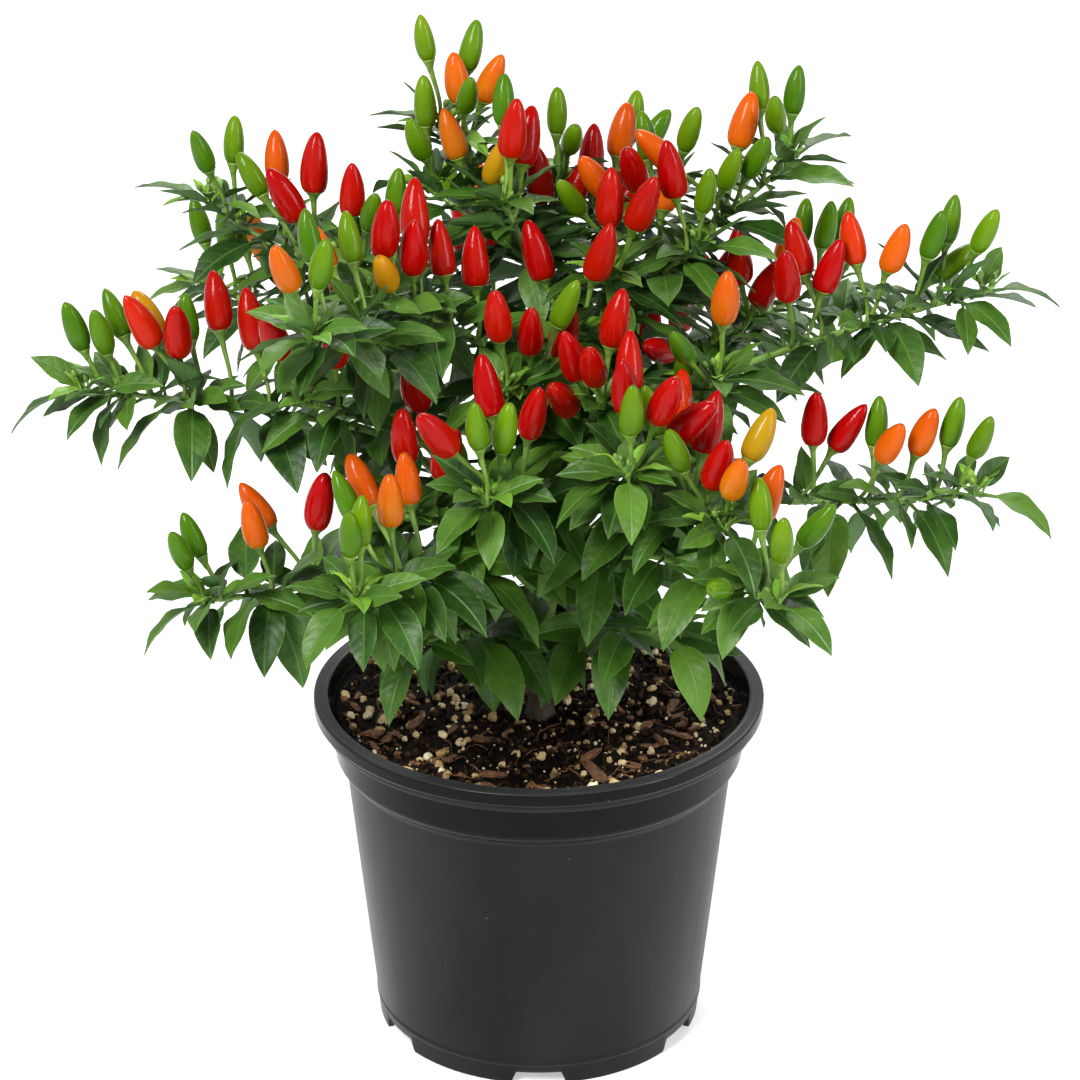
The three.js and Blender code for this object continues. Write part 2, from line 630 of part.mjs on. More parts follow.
// Builds the sprays: first all stems, then all fruit, then the leaves, each clear of all before it
function makeSprays(standing) {
  const placed = standing.map((solid) => ({ solid, box: solid.boundingBox() }));
  const apart = (a, b) => [0, 1, 2].some((axis) => a.min[axis] > b.max[axis] || b.min[axis] > a.max[axis]);
  const isClear = (probe) => {
    const box = probe.boundingBox();
    return placed.every((other) => {
      if (apart(box, other.box)) return true;
      const shared = probe.intersect(other.solid);
      const clear = shared.isEmpty();
      shared.delete();
      return clear;
    });
  };
  const settle = (places, make) => places.find((place) => {
    const probe = make(place, true);
    const clear = isClear(probe);
    probe.delete();
    return clear;
  });
  const names = Object.keys(sprays);
  const parts = Object.fromEntries(names.map((name) => [name, []]));
  const add = (name, solid) => {
    parts[name].push(solid);
    placed.push({ solid, box: solid.boundingBox() });
  };
  for (const name of names) {
    add(name, stemAlong(stems[name], STEM_BASE_RADIUS, STEM_TIP_RADIUS, STEM_SIDES, 3));
  }
  names.forEach((name, number) => {
    for (const entry of sprays[name].fruit.split(',').filter(Boolean)) {
      const place = settle(fruitPlaces(name, number, entry), makeFruit);
      if (place) add(name, makeFruit(place));
    }
  });
  const mostLeaves = Math.max(...names.map(leafCount));
  for (let index = 0; index < mostLeaves; index += 1) {
    names.forEach((name, number) => {
      const count = leafCount(name);
      if (index >= count) return;
      const place = settle(leafPlaces(name, number, count, index), makeLeaf);
      if (place) add(name, makeLeaf(place));
    });
  }
  return Object.fromEntries(names.map((name) => [name, wasm.Manifold.union(parts[name])]));
}

const foliage = new THREE.MeshStandardMaterial({ color: LEAF_GREEN, roughness: 0.55, metalness: 0 });
const wood = new THREE.MeshStandardMaterial({ color: STEM_GREEN, roughness: 0.7, metalness: 0 });
const plastic = new THREE.MeshStandardMaterial({ color: PLASTIC_BLACK, roughness: 0.45, metalness: 0 });
const peat = new THREE.MeshStandardMaterial({ color: SOIL_BROWN, roughness: 0.95, metalness: 0 });

function named(name, solid, material) {
  const mesh = new THREE.Mesh(geometryFrom(solid), material);
  mesh.name = name;
  return mesh;
}

const pot = makePot();
const soil = makeSoil();
const trunk = makeTrunk();

const plant = new THREE.Group();
plant.add(named('trunk', trunk, wood));
for (const [name, solid] of Object.entries(makeSprays([pot, soil, trunk]))) {
  plant.add(named(`spray_${name}`, solid, foliage));
}

const pottedPlant = new THREE.Group();
pottedPlant.add(named('pot', pot, plastic), named('soil', soil, peat), plant);

export default pottedPlant;
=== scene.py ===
"""A dwarf chilli pepper plant in a black nursery pot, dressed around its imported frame.

Plant and pot are laid out in millimetres, with +Z up and the origin under the pot's axis, and each mesh is
turned into metres as it is made. Every section builds one piece, or one group of like pieces, in the order
in which the real thing came together: pot, soil, woody stem, shoots, leaves, fruit and buds.
"""

import math

import bpy
import numpy as np
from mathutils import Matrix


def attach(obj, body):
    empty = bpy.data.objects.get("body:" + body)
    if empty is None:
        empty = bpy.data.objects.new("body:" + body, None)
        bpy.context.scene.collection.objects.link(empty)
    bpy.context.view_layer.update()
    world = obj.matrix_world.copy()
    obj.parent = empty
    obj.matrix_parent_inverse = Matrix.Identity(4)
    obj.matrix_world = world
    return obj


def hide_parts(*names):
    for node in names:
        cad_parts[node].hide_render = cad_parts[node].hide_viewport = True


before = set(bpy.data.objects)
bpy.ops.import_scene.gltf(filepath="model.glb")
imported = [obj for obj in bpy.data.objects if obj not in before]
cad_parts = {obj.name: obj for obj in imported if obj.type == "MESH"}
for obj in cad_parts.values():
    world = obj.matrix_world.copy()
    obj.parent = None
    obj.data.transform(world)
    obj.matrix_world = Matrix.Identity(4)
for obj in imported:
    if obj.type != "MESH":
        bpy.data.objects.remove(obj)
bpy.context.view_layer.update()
scene = bpy.context.scene


# Camera
# It stands 1.4 m in front of the pot and looks down at the plant, as for a catalogue picture. The lens is
# a long one, and the pot's axis is a hair left of the middle of the picture.
CAMERA_DISTANCE = 1.4
CAMERA_RISE = math.radians(24.42)
CAMERA_AIM = 0.1975
LENS = 125.8
PICTURE_SIDE = 1080
AXIS_PIXEL = 538.75

camera = bpy.data.objects.new("camera", bpy.data.cameras.new("camera"))
camera.data.lens = LENS
camera.data.shift_x = (PICTURE_SIDE / 2 - AXIS_PIXEL) / PICTURE_SIDE
camera.location = (
    0,
    -CAMERA_DISTANCE * math.cos(CAMERA_RISE),
    CAMERA_AIM + CAMERA_DISTANCE * math.sin(CAMERA_RISE),
)
camera.rotation_euler = (math.pi / 2 - CAMERA_RISE, 0, 0)
scene.collection.objects.link(camera)
scene.camera = camera


# Studio
# A white room with a tall soft box high on the left, a narrower one on the right and one behind that lights
# the leaves' edges. The room's walls are bright and its ceiling is dimmer.
LAMPS = {
    "key": {"place": (-0.8, -1.2, 1.7), "wide": 0.5, "high": 1.1, "watts": 66},
    "fill": {"place": (1.5, -0.9, 0.9), "wide": 0.5, "high": 1.4, "watts": 22},
    "back": {"place": (0.3, 1.5, 1.6), "wide": 1.4, "high": 0.8, "watts": 34},
}
LAMP_AIM = (0, 0, 0.24)

# How bright the room is at each rise of the view, from the horizon to overhead
ROOM = [(0, 0.78), (0.35, 0.78), (0.8, 0.32)]

for lamp_name, lamp in LAMPS.items():
    light = bpy.data.objects.new(lamp_name, bpy.data.lights.new(lamp_name, "AREA"))
    light.data.shape = "RECTANGLE"
    light.data.energy = lamp["watts"]
    light.data.size = lamp["wide"]
    light.data.size_y = lamp["high"]
    aim = np.subtract(LAMP_AIM, lamp["place"])
    light.location = lamp["place"]
    light.rotation_euler = (
        math.atan2(math.hypot(aim[0], aim[1]), -aim[2]),
        0,
        math.atan2(aim[1], aim[0]) - math.pi / 2,
    )
    scene.collection.objects.link(light)


def new_node(tree, kind, *values, **settings):
    """A shader node. Values go to its sockets in order: a socket is linked, a number set, and None left."""
    node = tree.nodes.new("ShaderNode" + kind)
    for setting, value in settings.items():
        setattr(node, setting, value)
    for socket, value in zip(node.inputs, values):
        if isinstance(value, bpy.types.NodeSocket):
            tree.links.new(value, socket)
        elif value is not None:
            socket.default_value = value
    return node


def ramp_of(tree, value, *stops):
    """A colour ramp over a value. Each stop is (place, red, green, blue)."""
    node = new_node(tree, "ValToRGB", value)
    while len(node.color_ramp.elements) < len(stops):
        node.color_ramp.elements.new(0.5)
    for element, stop in zip(node.color_ramp.elements, stops):
        element.position = stop[0]
        element.color = (*stop[1:], 1)
    return node.outputs["Color"]


scene.world = bpy.data.worlds.new("studio")
scene.world.use_nodes = True
sky = scene.world.node_tree
rise = new_node(sky, "SeparateXYZ", new_node(sky, "TexCoord").outputs["Generated"]).outputs[2]
room = ramp_of(sky, rise, *[(height, tone, tone, tone) for height, tone in ROOM])
sky.links.new(room, sky.nodes["Background"].inputs["Color"])
scene.view_settings.view_transform = "Standard"


# Floor
# A matte white sheet that runs out of sight on all sides. It is faintly lit from below, so that it stays
# pale in the pot's shade.
FLOOR_RADIUS = 14
FLOOR_GLOW = 0.45
FLOOR_SIDES = 64


def turns_of(count):
    """So many angles, evenly spaced over a full turn."""
    return np.linspace(0, 2 * np.pi, count, endpoint=False)


def set_sockets(node, **values):
    """Sets sockets by name, with _ for a space: a socket is linked, and a number or colour is set."""
    for name, value in values.items():
        socket = node.inputs[name.replace("_", " ")]
        if isinstance(value, bpy.types.NodeSocket):
            node.id_data.links.new(value, socket)
        else:
            socket.default_value = value


def new_finish(name, **values):
    """A material with plain values on its Principled shader, its node tree and that shader."""
    material = bpy.data.materials.new(name)
    material.use_nodes = True
    shader = material.node_tree.nodes["Principled BSDF"]
    set_sockets(shader, **values)
    return material, material.node_tree, shader


angles = turns_of(FLOOR_SIDES)
floor_edge = np.c_[FLOOR_RADIUS * np.cos(angles), FLOOR_RADIUS * np.sin(angles), 0 * angles]
floor_mesh = bpy.data.meshes.new("floor")
floor_mesh.from_pydata(floor_edge.tolist(), [], [list(range(FLOOR_SIDES))])
floor = bpy.data.objects.new("floor", floor_mesh)
scene.collection.objects.link(floor)
floor_finish = new_finish(
    "floor",
    Base_Color=(0.56, 0.56, 0.56, 1),
    Roughness=0.8,
    Emission_Color=(1, 1, 1, 1),
    Emission_Strength=FLOOR_GLOW,
)[0]
floor_mesh.materials.append(floor_finish)


# Pot
# A round nursery pot, injection moulded in black plastic. It has a flat rim with a thin bead under it, a
# straight collar, a step that carries the next pot of a stack, a tapered wall and six notches in its foot.
RIM_TOP = 136
FLOOR_TOP = 7.4
FLOOR_UNDERSIDE = 5.6
NOTCHES = 6
NOTCH_HEIGHT = 5
NOTCH_TOP = 8.5
NOTCH_FOOT = 10.5
DRAIN_RADIUS = 4
DRAIN_CIRCLE = 44
POT_COLUMNS = 180
BASE_RADIUS = 62
BORE = 0.5
NOTCH_EDGE = 0.3
FOOT_RING = 4
# Above this height the collar and rim are painted nearly black, as shade under the rim, and are glossier
COLLAR_SHADE_FROM = 111
COLLAR_SHADE_BLEND = 4
POT_CREASE = 50

# How pale the collar and rim are at each height: pale bands at the edges and on the rim's top are scuffs and
# painted highlight lines, and the near black between them is painted shade
RIM_SCUFFS_AND_HIGHLIGHTS = [
    (111.9, 0.0006), (112.6, 0.014), (113.4, 0.0006), (126.8, 0.0006), (127.4, 0.014), (129.5, 0.014),
    (130.0, 0.0006), (130.5, 0.0006), (130.8, 0.022), (131.6, 0.0006), (135.2, 0.0006), (135.7, 0.024),
]

# Radius, height and rounding of each corner, from the underside's middle round to the floor's middle
POT_CORNERS = [
    (BORE, FLOOR_UNDERSIDE, 0),
    (BASE_RADIUS - 2.9, FLOOR_UNDERSIDE, 0.5),
    (BASE_RADIUS - 2.5, 0, 0.5),
    (BASE_RADIUS, 0, 0.8),
    (BASE_RADIUS + 0.75, 8, 0.4),
    (BASE_RADIUS + 1.15, 8.6, 0.35),
    (BASE_RADIUS + 1.25, 9.8, 0.35),
    (BASE_RADIUS + 1.0, 10.5, 0.4),
    (73.4, 109, 1.2),
    (77.2, 112.8, 1.2),
    (77.9, 127.1, 0.6),
    (82.9, 127.4, 0.7),
    (83.0, 129.6, 0.5),
    (82.5, 130.0, 0.3),
    (85, 130.6, 0.9),
    (85, RIM_TOP, 1.1),
    (80.8, RIM_TOP - 0.15, 0.3),
    (80.5, RIM_TOP, 0.2),
    (79.7, RIM_TOP - 0.1, 0.5),
    (76.1, 127.4, 2.0),
    (75.4, 112.8, 1.2),
    (71.6, 109, 1.2),
    (60.6, FLOOR_TOP, 2.0),
    (BORE, FLOOR_TOP, 0),
]


def rounded(corners):
    """An outline with rounded corners: each corner is a quadratic curve between points on its two sides, at
    the corner's rounding from it, with one more point beyond either end that keeps the sides straight."""
    points = np.array(corners, float)
    here, rounding = points[1:-1, :2], points[1:-1, 2:3]
    before = points[:-2, :2] - here
    after = points[2:, :2] - here
    before_length = np.linalg.norm(before, axis=1, keepdims=True)
    after_length = np.linalg.norm(after, axis=1, keepdims=True)
    start = before / before_length * np.minimum(rounding, 0.4 * before_length)
    end = after / after_length * np.minimum(rounding, 0.4 * after_length)
    here, start, end = here[:, None], start[:, None], end[:, None]
    share = np.linspace(0, 1, 4)[None, :, None]
    curve = here + (1 - share) ** 2 * start + share**2 * end
    rows = np.concatenate([here + 1.2 * start, curve, here + 1.2 * end], axis=1)
    return np.concatenate([points[:1, :2], rows.reshape(-1, 2), points[-1:, :2]])


def turned(outline, angles):
    """Rows of a lathe form: each outline point (radius, height) turned to all angles about the Z axis."""
    radius, height = outline[:, :1], outline[:, 1:]
    return np.stack([radius * np.cos(angles), radius * np.sin(angles), height + 0 * angles], axis=-1)


def new_piece(name, finish, slot, nodes, *skins, sharp=180):
    """A piece from batches of closed skins, riding on the plant's one body.

    A skin is a grid of points in millimetres (piece, row, column, xyz) whose columns run counter-clockwise
    about the way its rows follow, and the marks that its finish reads, each as (piece, row, column, xyz).
    Neighbouring rows and columns are joined by four-sided faces, and the first and last rows are capped."""
    places, marks, faces, first = [], {}, [], 0
    for grid, skin_marks in skins:
        pieces, rows, columns = grid.shape[:3]
        index = first + np.arange(pieces * rows * columns).reshape(pieces, rows, columns)
        onward = np.roll(index, -1, axis=2)
        quads = np.stack([index[:, :-1], onward[:, :-1], onward[:, 1:], index[:, 1:]], -1)
        faces += [quads.reshape(-1, 4), index[:, 0, ::-1], index[:, -1]]
        places.append(grid.reshape(-1, 3))
        for mark, values in skin_marks.items():
            marks.setdefault(mark, []).append(np.broadcast_to(values, grid.shape).reshape(-1, 3))
        first += pieces * rows * columns
    mesh = bpy.data.meshes.new(name)
    corners = np.concatenate([f.ravel() for f in faces])
    sizes = np.concatenate([np.full(len(f), f.shape[1]) for f in faces])
    mesh.vertices.add(first)
    mesh.loops.add(len(corners))
    mesh.polygons.add(len(sizes))
    mesh.vertices.foreach_set("co", (np.concatenate(places) / 1000).astype(np.float32).ravel())
    mesh.loops.foreach_set("vertex_index", corners.astype(np.int32))
    mesh.polygons.foreach_set("loop_start", (np.cumsum(sizes) - sizes).astype(np.int32))
    mesh.update(calc_edges=True)
    for mark, values in marks.items():
        layer = mesh.attributes.new(mark, "FLOAT_VECTOR", "POINT")
        layer.data.foreach_set("vector", np.concatenate(values).astype(np.float32).ravel())
    mesh.shade_smooth()
    if sharp < 180:
        mesh.set_sharp_from_angle(angle=math.radians(sharp))
    mesh.materials.append(finish)
    piece = bpy.data.objects.new(name, mesh)
    scene.collection.objects.link(piece)
    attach(piece, "root")
    if nodes:
        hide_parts(*nodes)
    return piece


def maths(tree, operation, *values, clamp=False):
    """The output of one Math node, held between 0 and 1 if it is to be clamped."""
    return new_node(tree, "Math", *values, operation=operation, use_clamp=clamp).outputs[0]


def rising(tree, value, start, width):
    """0 up to the start, then evenly up to 1 over the width, and 1 from there on."""
    return maths(tree, "DIVIDE", maths(tree, "SUBTRACT", value, start), width, clamp=True)


def blend_of(tree, factor, first, second, most=1):
    """A colour blended into another by a factor times the most that counts. The second colour is a socket
    or (red, green, blue)."""
    if most < 1:
        factor = maths(tree, "MULTIPLY", factor, most)
    if isinstance(second, tuple):
        second = (*second, 1)
    return new_node(tree, "Mix", factor, *[None] * 5, first, second, data_type="RGBA").outputs[2]


def place_of(tree, mark=None):
    """A piece's mark of that name, or its Object coordinates, in metres, where no mark is named."""
    if mark:
        return new_node(tree, "Attribute", attribute_name=mark).outputs["Vector"]
    return new_node(tree, "TexCoord").outputs["Object"]


def parts_of(tree, mark=None):
    """The three numbers of a mark, or of the Object coordinates."""
    return new_node(tree, "SeparateXYZ", place_of(tree, mark)).outputs


def noise_of(tree, scale, detail=3, stretch=(1, 1, 1), mark=None):
    """Noise over a mark or the Object coordinates: so many lumps to the unit, stretched by a mapping."""
    mapping = new_node(tree, "Mapping", place_of(tree, mark))
    noise = new_node(tree, "TexNoise", mapping.outputs[0])
    set_sockets(mapping, Scale=stretch)
    set_sockets(noise, Scale=scale, Detail=detail)
    return noise.outputs[0]


def bumped(tree, height, distance):
    """A normal for the shader, from a height of which 1 stands for so many metres."""
    bump = new_node(tree, "Bump")
    set_sockets(bump, Strength=1, Distance=distance, Height=height)
    return bump.outputs[0]


def make_pot_finish():
    """Satin black plastic. Dusty patches on the wall are paler and rougher. The collar and rim are glossier
    and nearly black, which on the collar is painted shade under the rim, and pale bands along their edges
    are scuffs and painted highlight lines. A few specks of dust lie on it, long faint streaks run down, and
    a fine grain breaks up the gloss."""
    material, tree, shader = new_finish("pot_plastic", IOR=1.23)
    height = parts_of(tree)[2]
    # Painted shade: above the step the collar and rim are nearly black, as in the rim's shadow. They are
    # also glossier.
    collar_shade_and_gloss = rising(tree, height, COLLAR_SHADE_FROM / 1000, COLLAR_SHADE_BLEND / 1000)
    dust = noise_of(tree, 26, 5, (1, 1, 0.45))
    streaks = noise_of(tree, 160, 2, (1, 1, 0.03))
    wall = ramp_of(tree, dust, (0.35, 0.005, 0.0051, 0.0055), (0.72, 0.011, 0.0112, 0.0118))
    # Scuffs and painted highlight lines: pale bands by height along the rim, with near-black painted shade
    # between
    lowest, highest = RIM_SCUFFS_AND_HIGHLIGHTS[0][0], RIM_TOP + 1
    up = rising(tree, height, lowest / 1000, (highest - lowest) / 1000)
    stops = [((level - lowest) / (highest - lowest), grey, grey, 1.05 * grey) for level, grey in RIM_SCUFFS_AND_HIGHLIGHTS]
    colour = blend_of(tree, collar_shade_and_gloss, wall, ramp_of(tree, up, *stops))
    specks = rising(tree, noise_of(tree, 620, 0), 0.87, 0.03)
    wear = maths(tree, "MULTIPLY_ADD", dust, 0.2, 0.19)
    wear = maths(tree, "MULTIPLY_ADD", collar_shade_and_gloss, -0.14, wear)
    relief = maths(tree, "MULTIPLY_ADD", streaks, 0.6, noise_of(tree, 1400, 2))
    set_sockets(
        shader,
        Base_Color=blend_of(tree, specks, colour, (0.05, 0.048, 0.043)),
        Roughness=maths(tree, "MULTIPLY_ADD", streaks, 0.1, wear),
        Normal=bumped(tree, relief, 0.00005),
    )
    return material


def make_pot():
    """The outline turned about the pot's axis. In the foot ring, heights are lifted towards the notch's
    height within each notch, whose sides slope, and drain holes are cut through the floor."""
    pitch = 2 * np.pi / NOTCHES
    corners = np.add.outer([NOTCH_TOP, NOTCH_FOOT], [-NOTCH_EDGE, NOTCH_EDGE]).ravel() / BASE_RADIUS
    middles = pitch * (np.arange(NOTCHES) + 0.5)
    sides = np.add.outer(middles, [*corners, *-corners])
    angles = np.concatenate([turns_of(POT_COLUMNS), sides.ravel()])
    angles = np.unique(np.round(angles % (2 * np.pi), 4))
    grid = turned(rounded(POT_CORNERS), angles)
    aside = np.abs((angles % pitch) - pitch / 2) * BASE_RADIUS
    notch = NOTCH_HEIGHT * np.clip((NOTCH_FOOT - aside) / (NOTCH_FOOT - NOTCH_TOP), 0, 1)
    height = grid[..., 2]
    ring = (height < FLOOR_UNDERSIDE) & (np.hypot(grid[..., 0], grid[..., 1]) > BASE_RADIUS - FOOT_RING)
    grid[..., 2] = np.where(ring, height + notch * (1 - height / FLOOR_UNDERSIDE), height)
    finish = make_pot_finish()
    pot = new_piece("pot_shell", finish, "pot_plastic", ["pot"], (grid[None], {}), sharp=POT_CREASE)
    drain = turned(np.array([(DRAIN_RADIUS, 0), (DRAIN_RADIUS, 2 * FLOOR_TOP)]), turns_of(24))
    shift = turned(np.array([(DRAIN_CIRCLE, 0)]), middles)[0, :, None, None]
    drains = new_piece("drains", finish, "pot_plastic", [], (drain[None] + shift, {}))
    cut = pot.modifiers.new("drains", "BOOLEAN")
    cut.object = drains
    cut.solver = "EXACT"
    depsgraph = bpy.context.evaluated_depsgraph_get()
    holed = bpy.data.meshes.new_from_object(pot.evaluated_get(depsgraph))
    pot.modifiers.clear()
    pot.data = holed
    holed.name = "pot_shell"
    bpy.data.objects.remove(drains)


make_pot()


# Soil
# Moist dark peat, filled in by hand and watered, so that its surface is crumbly and a little higher in the
# middle. Crumbs of peat lie loose on it.
SOIL_LEVEL = 124
SOIL_RELIEF = 1.1
MOUTH_RADIUS = 80
SOIL_RADIUS = 76.6
BANK_START = 54
BANK_HEIGHT = 4.5
SOIL_COLUMNS = 230
SOIL_ROWS = 72
LATTICE = 128
LUMPS = [(6.5, 2.6), (2.8, 2.2), (1.3, 1.3)]
CRUMBS = 1500
CRUMB_RADII = (0.45, 1.5)
CRUMB_CREASE = 40
STEM_CLEAR = 7
WALL_CLEAR = 1.5


def eased(share):
    """A share from 0 to 1 that starts and ends softly: its square times 3 less twice itself."""
    return share**2 * (3 - 2 * share)


def lattice_noise(x, y, size, seed):
    """Value noise from 0 to 1: random heights on a square lattice of this size, blended by eased steps."""
    heights = np.random.default_rng(seed).random((LATTICE, LATTICE))
    column, row = x / size + LATTICE / 2, y / size + LATTICE / 2
    left, low = np.floor(column).astype(int), np.floor(row).astype(int)
    across, up = eased(column - left), eased(row - low)
    lower = heights[low, left] * (1 - across) + heights[low, left + 1] * across
    upper = heights[low + 1, left] * (1 - across) + heights[low + 1, left + 1] * across
    return lower * (1 - up) + upper * up


def soil_height(x, y):
    """The soil's surface: low waves that die out at the wall, as in the packed soil, a bank along the wall
    that watering has left, and three sizes of lumps, each with its width and height."""
    edge = 1 - (x**2 + y**2) / MOUTH_RADIUS**2
    bank = np.clip((np.hypot(x, y) - BANK_START) / (SOIL_RADIUS - BANK_START), 0, 1)
    waves = SOIL_LEVEL + SOIL_RELIEF * (np.sin(x * 0.09 + 1) * np.cos(y * 0.11) + 1) * edge
    height = waves + BANK_HEIGHT * eased(bank)
    for seed, (size, relief) in enumerate(LUMPS, start=1):
        height = height + relief * (lattice_noise(x, y, size, seed) - 0.5)
    return height


def make_soil_finish():
    """Near-black peat with brown fibres. Each crumb has its own shade, and wet hollows shine a little."""
    material, tree, shader = new_finish("peat", IOR=1.18)
    patches = noise_of(tree, 420, 6)
    shade = maths(tree, "MULTIPLY_ADD", parts_of(tree, "grain")[0], 0.19, patches)
    black, brown = (0.4, 0.002, 0.0014, 0.001), (0.8, 0.072, 0.037, 0.016)
    set_sockets(
        shader,
        Base_Color=ramp_of(tree, shade, black, (0.58, 0.007, 0.0042, 0.0022), brown),
        Roughness=maths(tree, "MULTIPLY_ADD", patches, 0.7, 0.4),
        Normal=bumped(tree, noise_of(tree, 1500, 4), 0.0005),
    )
    return material


def make_soil():
    """A lathe form whose top rows follow the soil's height."""
    angles = turns_of(SOIL_COLUMNS)
    wall = np.array([(BORE, 7.8), (59.8, 7.8), (71.1, 109), (74.9, 113), (75.3, 121)])
    reach = np.linspace(SOIL_RADIUS, BORE, SOIL_ROWS)
    top = turned(np.c_[reach, 0 * reach], angles)
    top[..., 2] = soil_height(top[..., 0], top[..., 1])
    grid = np.concatenate([turned(wall, angles), top])
    new_piece("potting_soil", make_soil_finish(), "soil", ["soil"], (grid[None], {}))


def scattered(count, chance, lift):
    """Places spread evenly over the soil, from the stem to the pot's wall, and lifted a little from it."""
    reach = np.sqrt(chance.uniform(STEM_CLEAR**2, (SOIL_RADIUS - WALL_CLEAR) ** 2, count))
    angle = chance.uniform(0, 2 * np.pi, count)
    x, y = reach * np.cos(angle), reach * np.sin(angle)
    return np.stack([x, y, soil_height(x, y) + lift], -1)


def frames_of(lean, turn):
    """Rotation matrices: a lean about X, then a turn about Z."""
    cx, sx, cz, sz = np.cos(lean), np.sin(lean), np.cos(turn), np.sin(turn)
    rows = [[cz, -sz * cx, sz * sx], [sz, cz * cx, -cz * sx], [0 * turn, sx, cx]]
    return np.moveaxis(np.array(rows), -1, 0)


def random_frames(count, chance, most=np.pi):
    """Frames that lean at most so much, and are turned any way."""
    return frames_of(chance.uniform(-most, most, count), chance.uniform(0, 2 * np.pi, count))


def lumps_of(count, chance, radii, rows, columns, roughness):
    """Closed lumps: balls in rows and columns, each point pushed in or out at random by the roughness at
    most, then scaled along the three axes."""
    polar = np.linspace(0.12, np.pi - 0.12, rows)
    ball = turned(np.c_[np.sin(polar), -np.cos(polar)], turns_of(columns))
    push = 1 + roughness * chance.uniform(-1, 1, (count, rows, columns, 1))
    return ball * push * radii[:, None, None]


def laid(lumps, frames, places):
    """Lumps turned by their frames and set down at their places."""
    return np.einsum("nij,nrcj->nrci", frames, lumps) + places[:, None, None]


def random_mark(count, chance):
    """A mark with one random number for each piece, from 0 to 1."""
    return chance.random((count, 1, 1, 1)) * np.ones(3)


make_soil()
crumb_chance = np.random.default_rng(11)
crumb_radii = crumb_chance.uniform(*CRUMB_RADII, (CRUMBS, 1)) * crumb_chance.uniform(0.7, 1.3, (CRUMBS, 3))
crumbs = laid(
    lumps_of(CRUMBS, crumb_chance, crumb_radii, rows=4, columns=6, roughness=0.3),
    random_frames(CRUMBS, crumb_chance),
    scattered(CRUMBS, crumb_chance, lift=0.4),
)
crumb_marks = {"grain": random_mark(CRUMBS, crumb_chance)}
peat = bpy.data.materials["peat"]
new_piece("peat_crumbs", peat, "soil", [], (crumbs, crumb_marks), sharp=CRUMB_CREASE)


# Perlite
# Grains of expanded volcanic glass, mixed into the soil for drainage. They are white when new, and watering
# has stained most of them cream and tan.
PERLITE_GRAINS = 560
SMALLEST_GRAIN = 0.4
LARGEST_GRAIN = 2.2
PERLITE_CREASE = 35


def make_perlite_finish():
    """Each grain has its own shade from white over cream to tan, with pores and brown stains."""
    material, tree, shader = new_finish("perlite", Roughness=0.85)
    own = maths(tree, "MULTIPLY", parts_of(tree, "grain")[0], 0.55)
    colour = ramp_of(
        tree,
        maths(tree, "MULTIPLY_ADD", noise_of(tree, 700, 4), 0.5, own),
        (0.2, 0.85, 0.78, 0.56),
        (0.45, 0.68, 0.52, 0.26),
        (0.7, 0.38, 0.24, 0.085),
        (0.86, 0.06, 0.034, 0.016),
    )
    set_sockets(shader, Base_Color=colour, Normal=bumped(tree, noise_of(tree, 1800, 3), 0.0004))
    return material


perlite_chance = np.random.default_rng(5)
perlite_radii = (LARGEST_GRAIN - SMALLEST_GRAIN) * perlite_chance.random((PERLITE_GRAINS, 1)) ** 2.2
perlite_radii = (SMALLEST_GRAIN + perlite_radii) * perlite_chance.uniform(0.75, 1.2, (PERLITE_GRAINS, 3))
perlite = laid(
    lumps_of(PERLITE_GRAINS, perlite_chance, perlite_radii, rows=6, columns=7, roughness=0.24),
    random_frames(PERLITE_GRAINS, perlite_chance),
    scattered(PERLITE_GRAINS, perlite_chance, lift=0.5),
)
perlite_marks = {"grain": random_mark(PERLITE_GRAINS, perlite_chance)}
perlite_finish = make_perlite_finish()
new_piece("perlite_grains", perlite_finish, "perlite", [], (perlite, perlite_marks), sharp=PERLITE_CREASE)


# Bark
# Split chips of composted pine bark, reddish brown and fibrous, and a few thin dead roots. They lie flat on
# the soil or stick out of it at a slant.
BARK_CHIPS = 110
CHIP_ROWS = 9
CHIP_COLUMNS = 8
CHIP_CREASE = 50
CHIP_WIDTHS = (0.4, 1.3)
CHIP_THICKNESSES = (0.5, 1.0)
DEAD_ROOTS = 70
ROOT_LENGTHS = (5, 18)
ROOT_RADII = (0.2, 0.45)

# The long chips: where they lie, how long they are, and how far round they are turned
LONG_CHIPS = [(20, -47, 21, 112), (-24, -62, 15, 12), (52, -18, 13, 150), (-55, -20, 12, 60)]


def make_bark_finish():
    """Reddish brown wood with grain along the chip, from the chip's own marks."""
    material, tree, shader = new_finish("bark", Roughness=0.8)
    fibres = noise_of(tree, 2.2, 4, (0.12, 1.6, 1.6), "grain")
    dark, brown, tan = (0.3, 0.014, 0.006, 0.003), (0.5, 0.12, 0.046, 0.017), (0.68, 0.42, 0.2, 0.075)
    colour = ramp_of(tree, fibres, dark, brown, tan)
    set_sockets(shader, Base_Color=colour, Normal=bumped(tree, fibres, 0.0006))
    return material


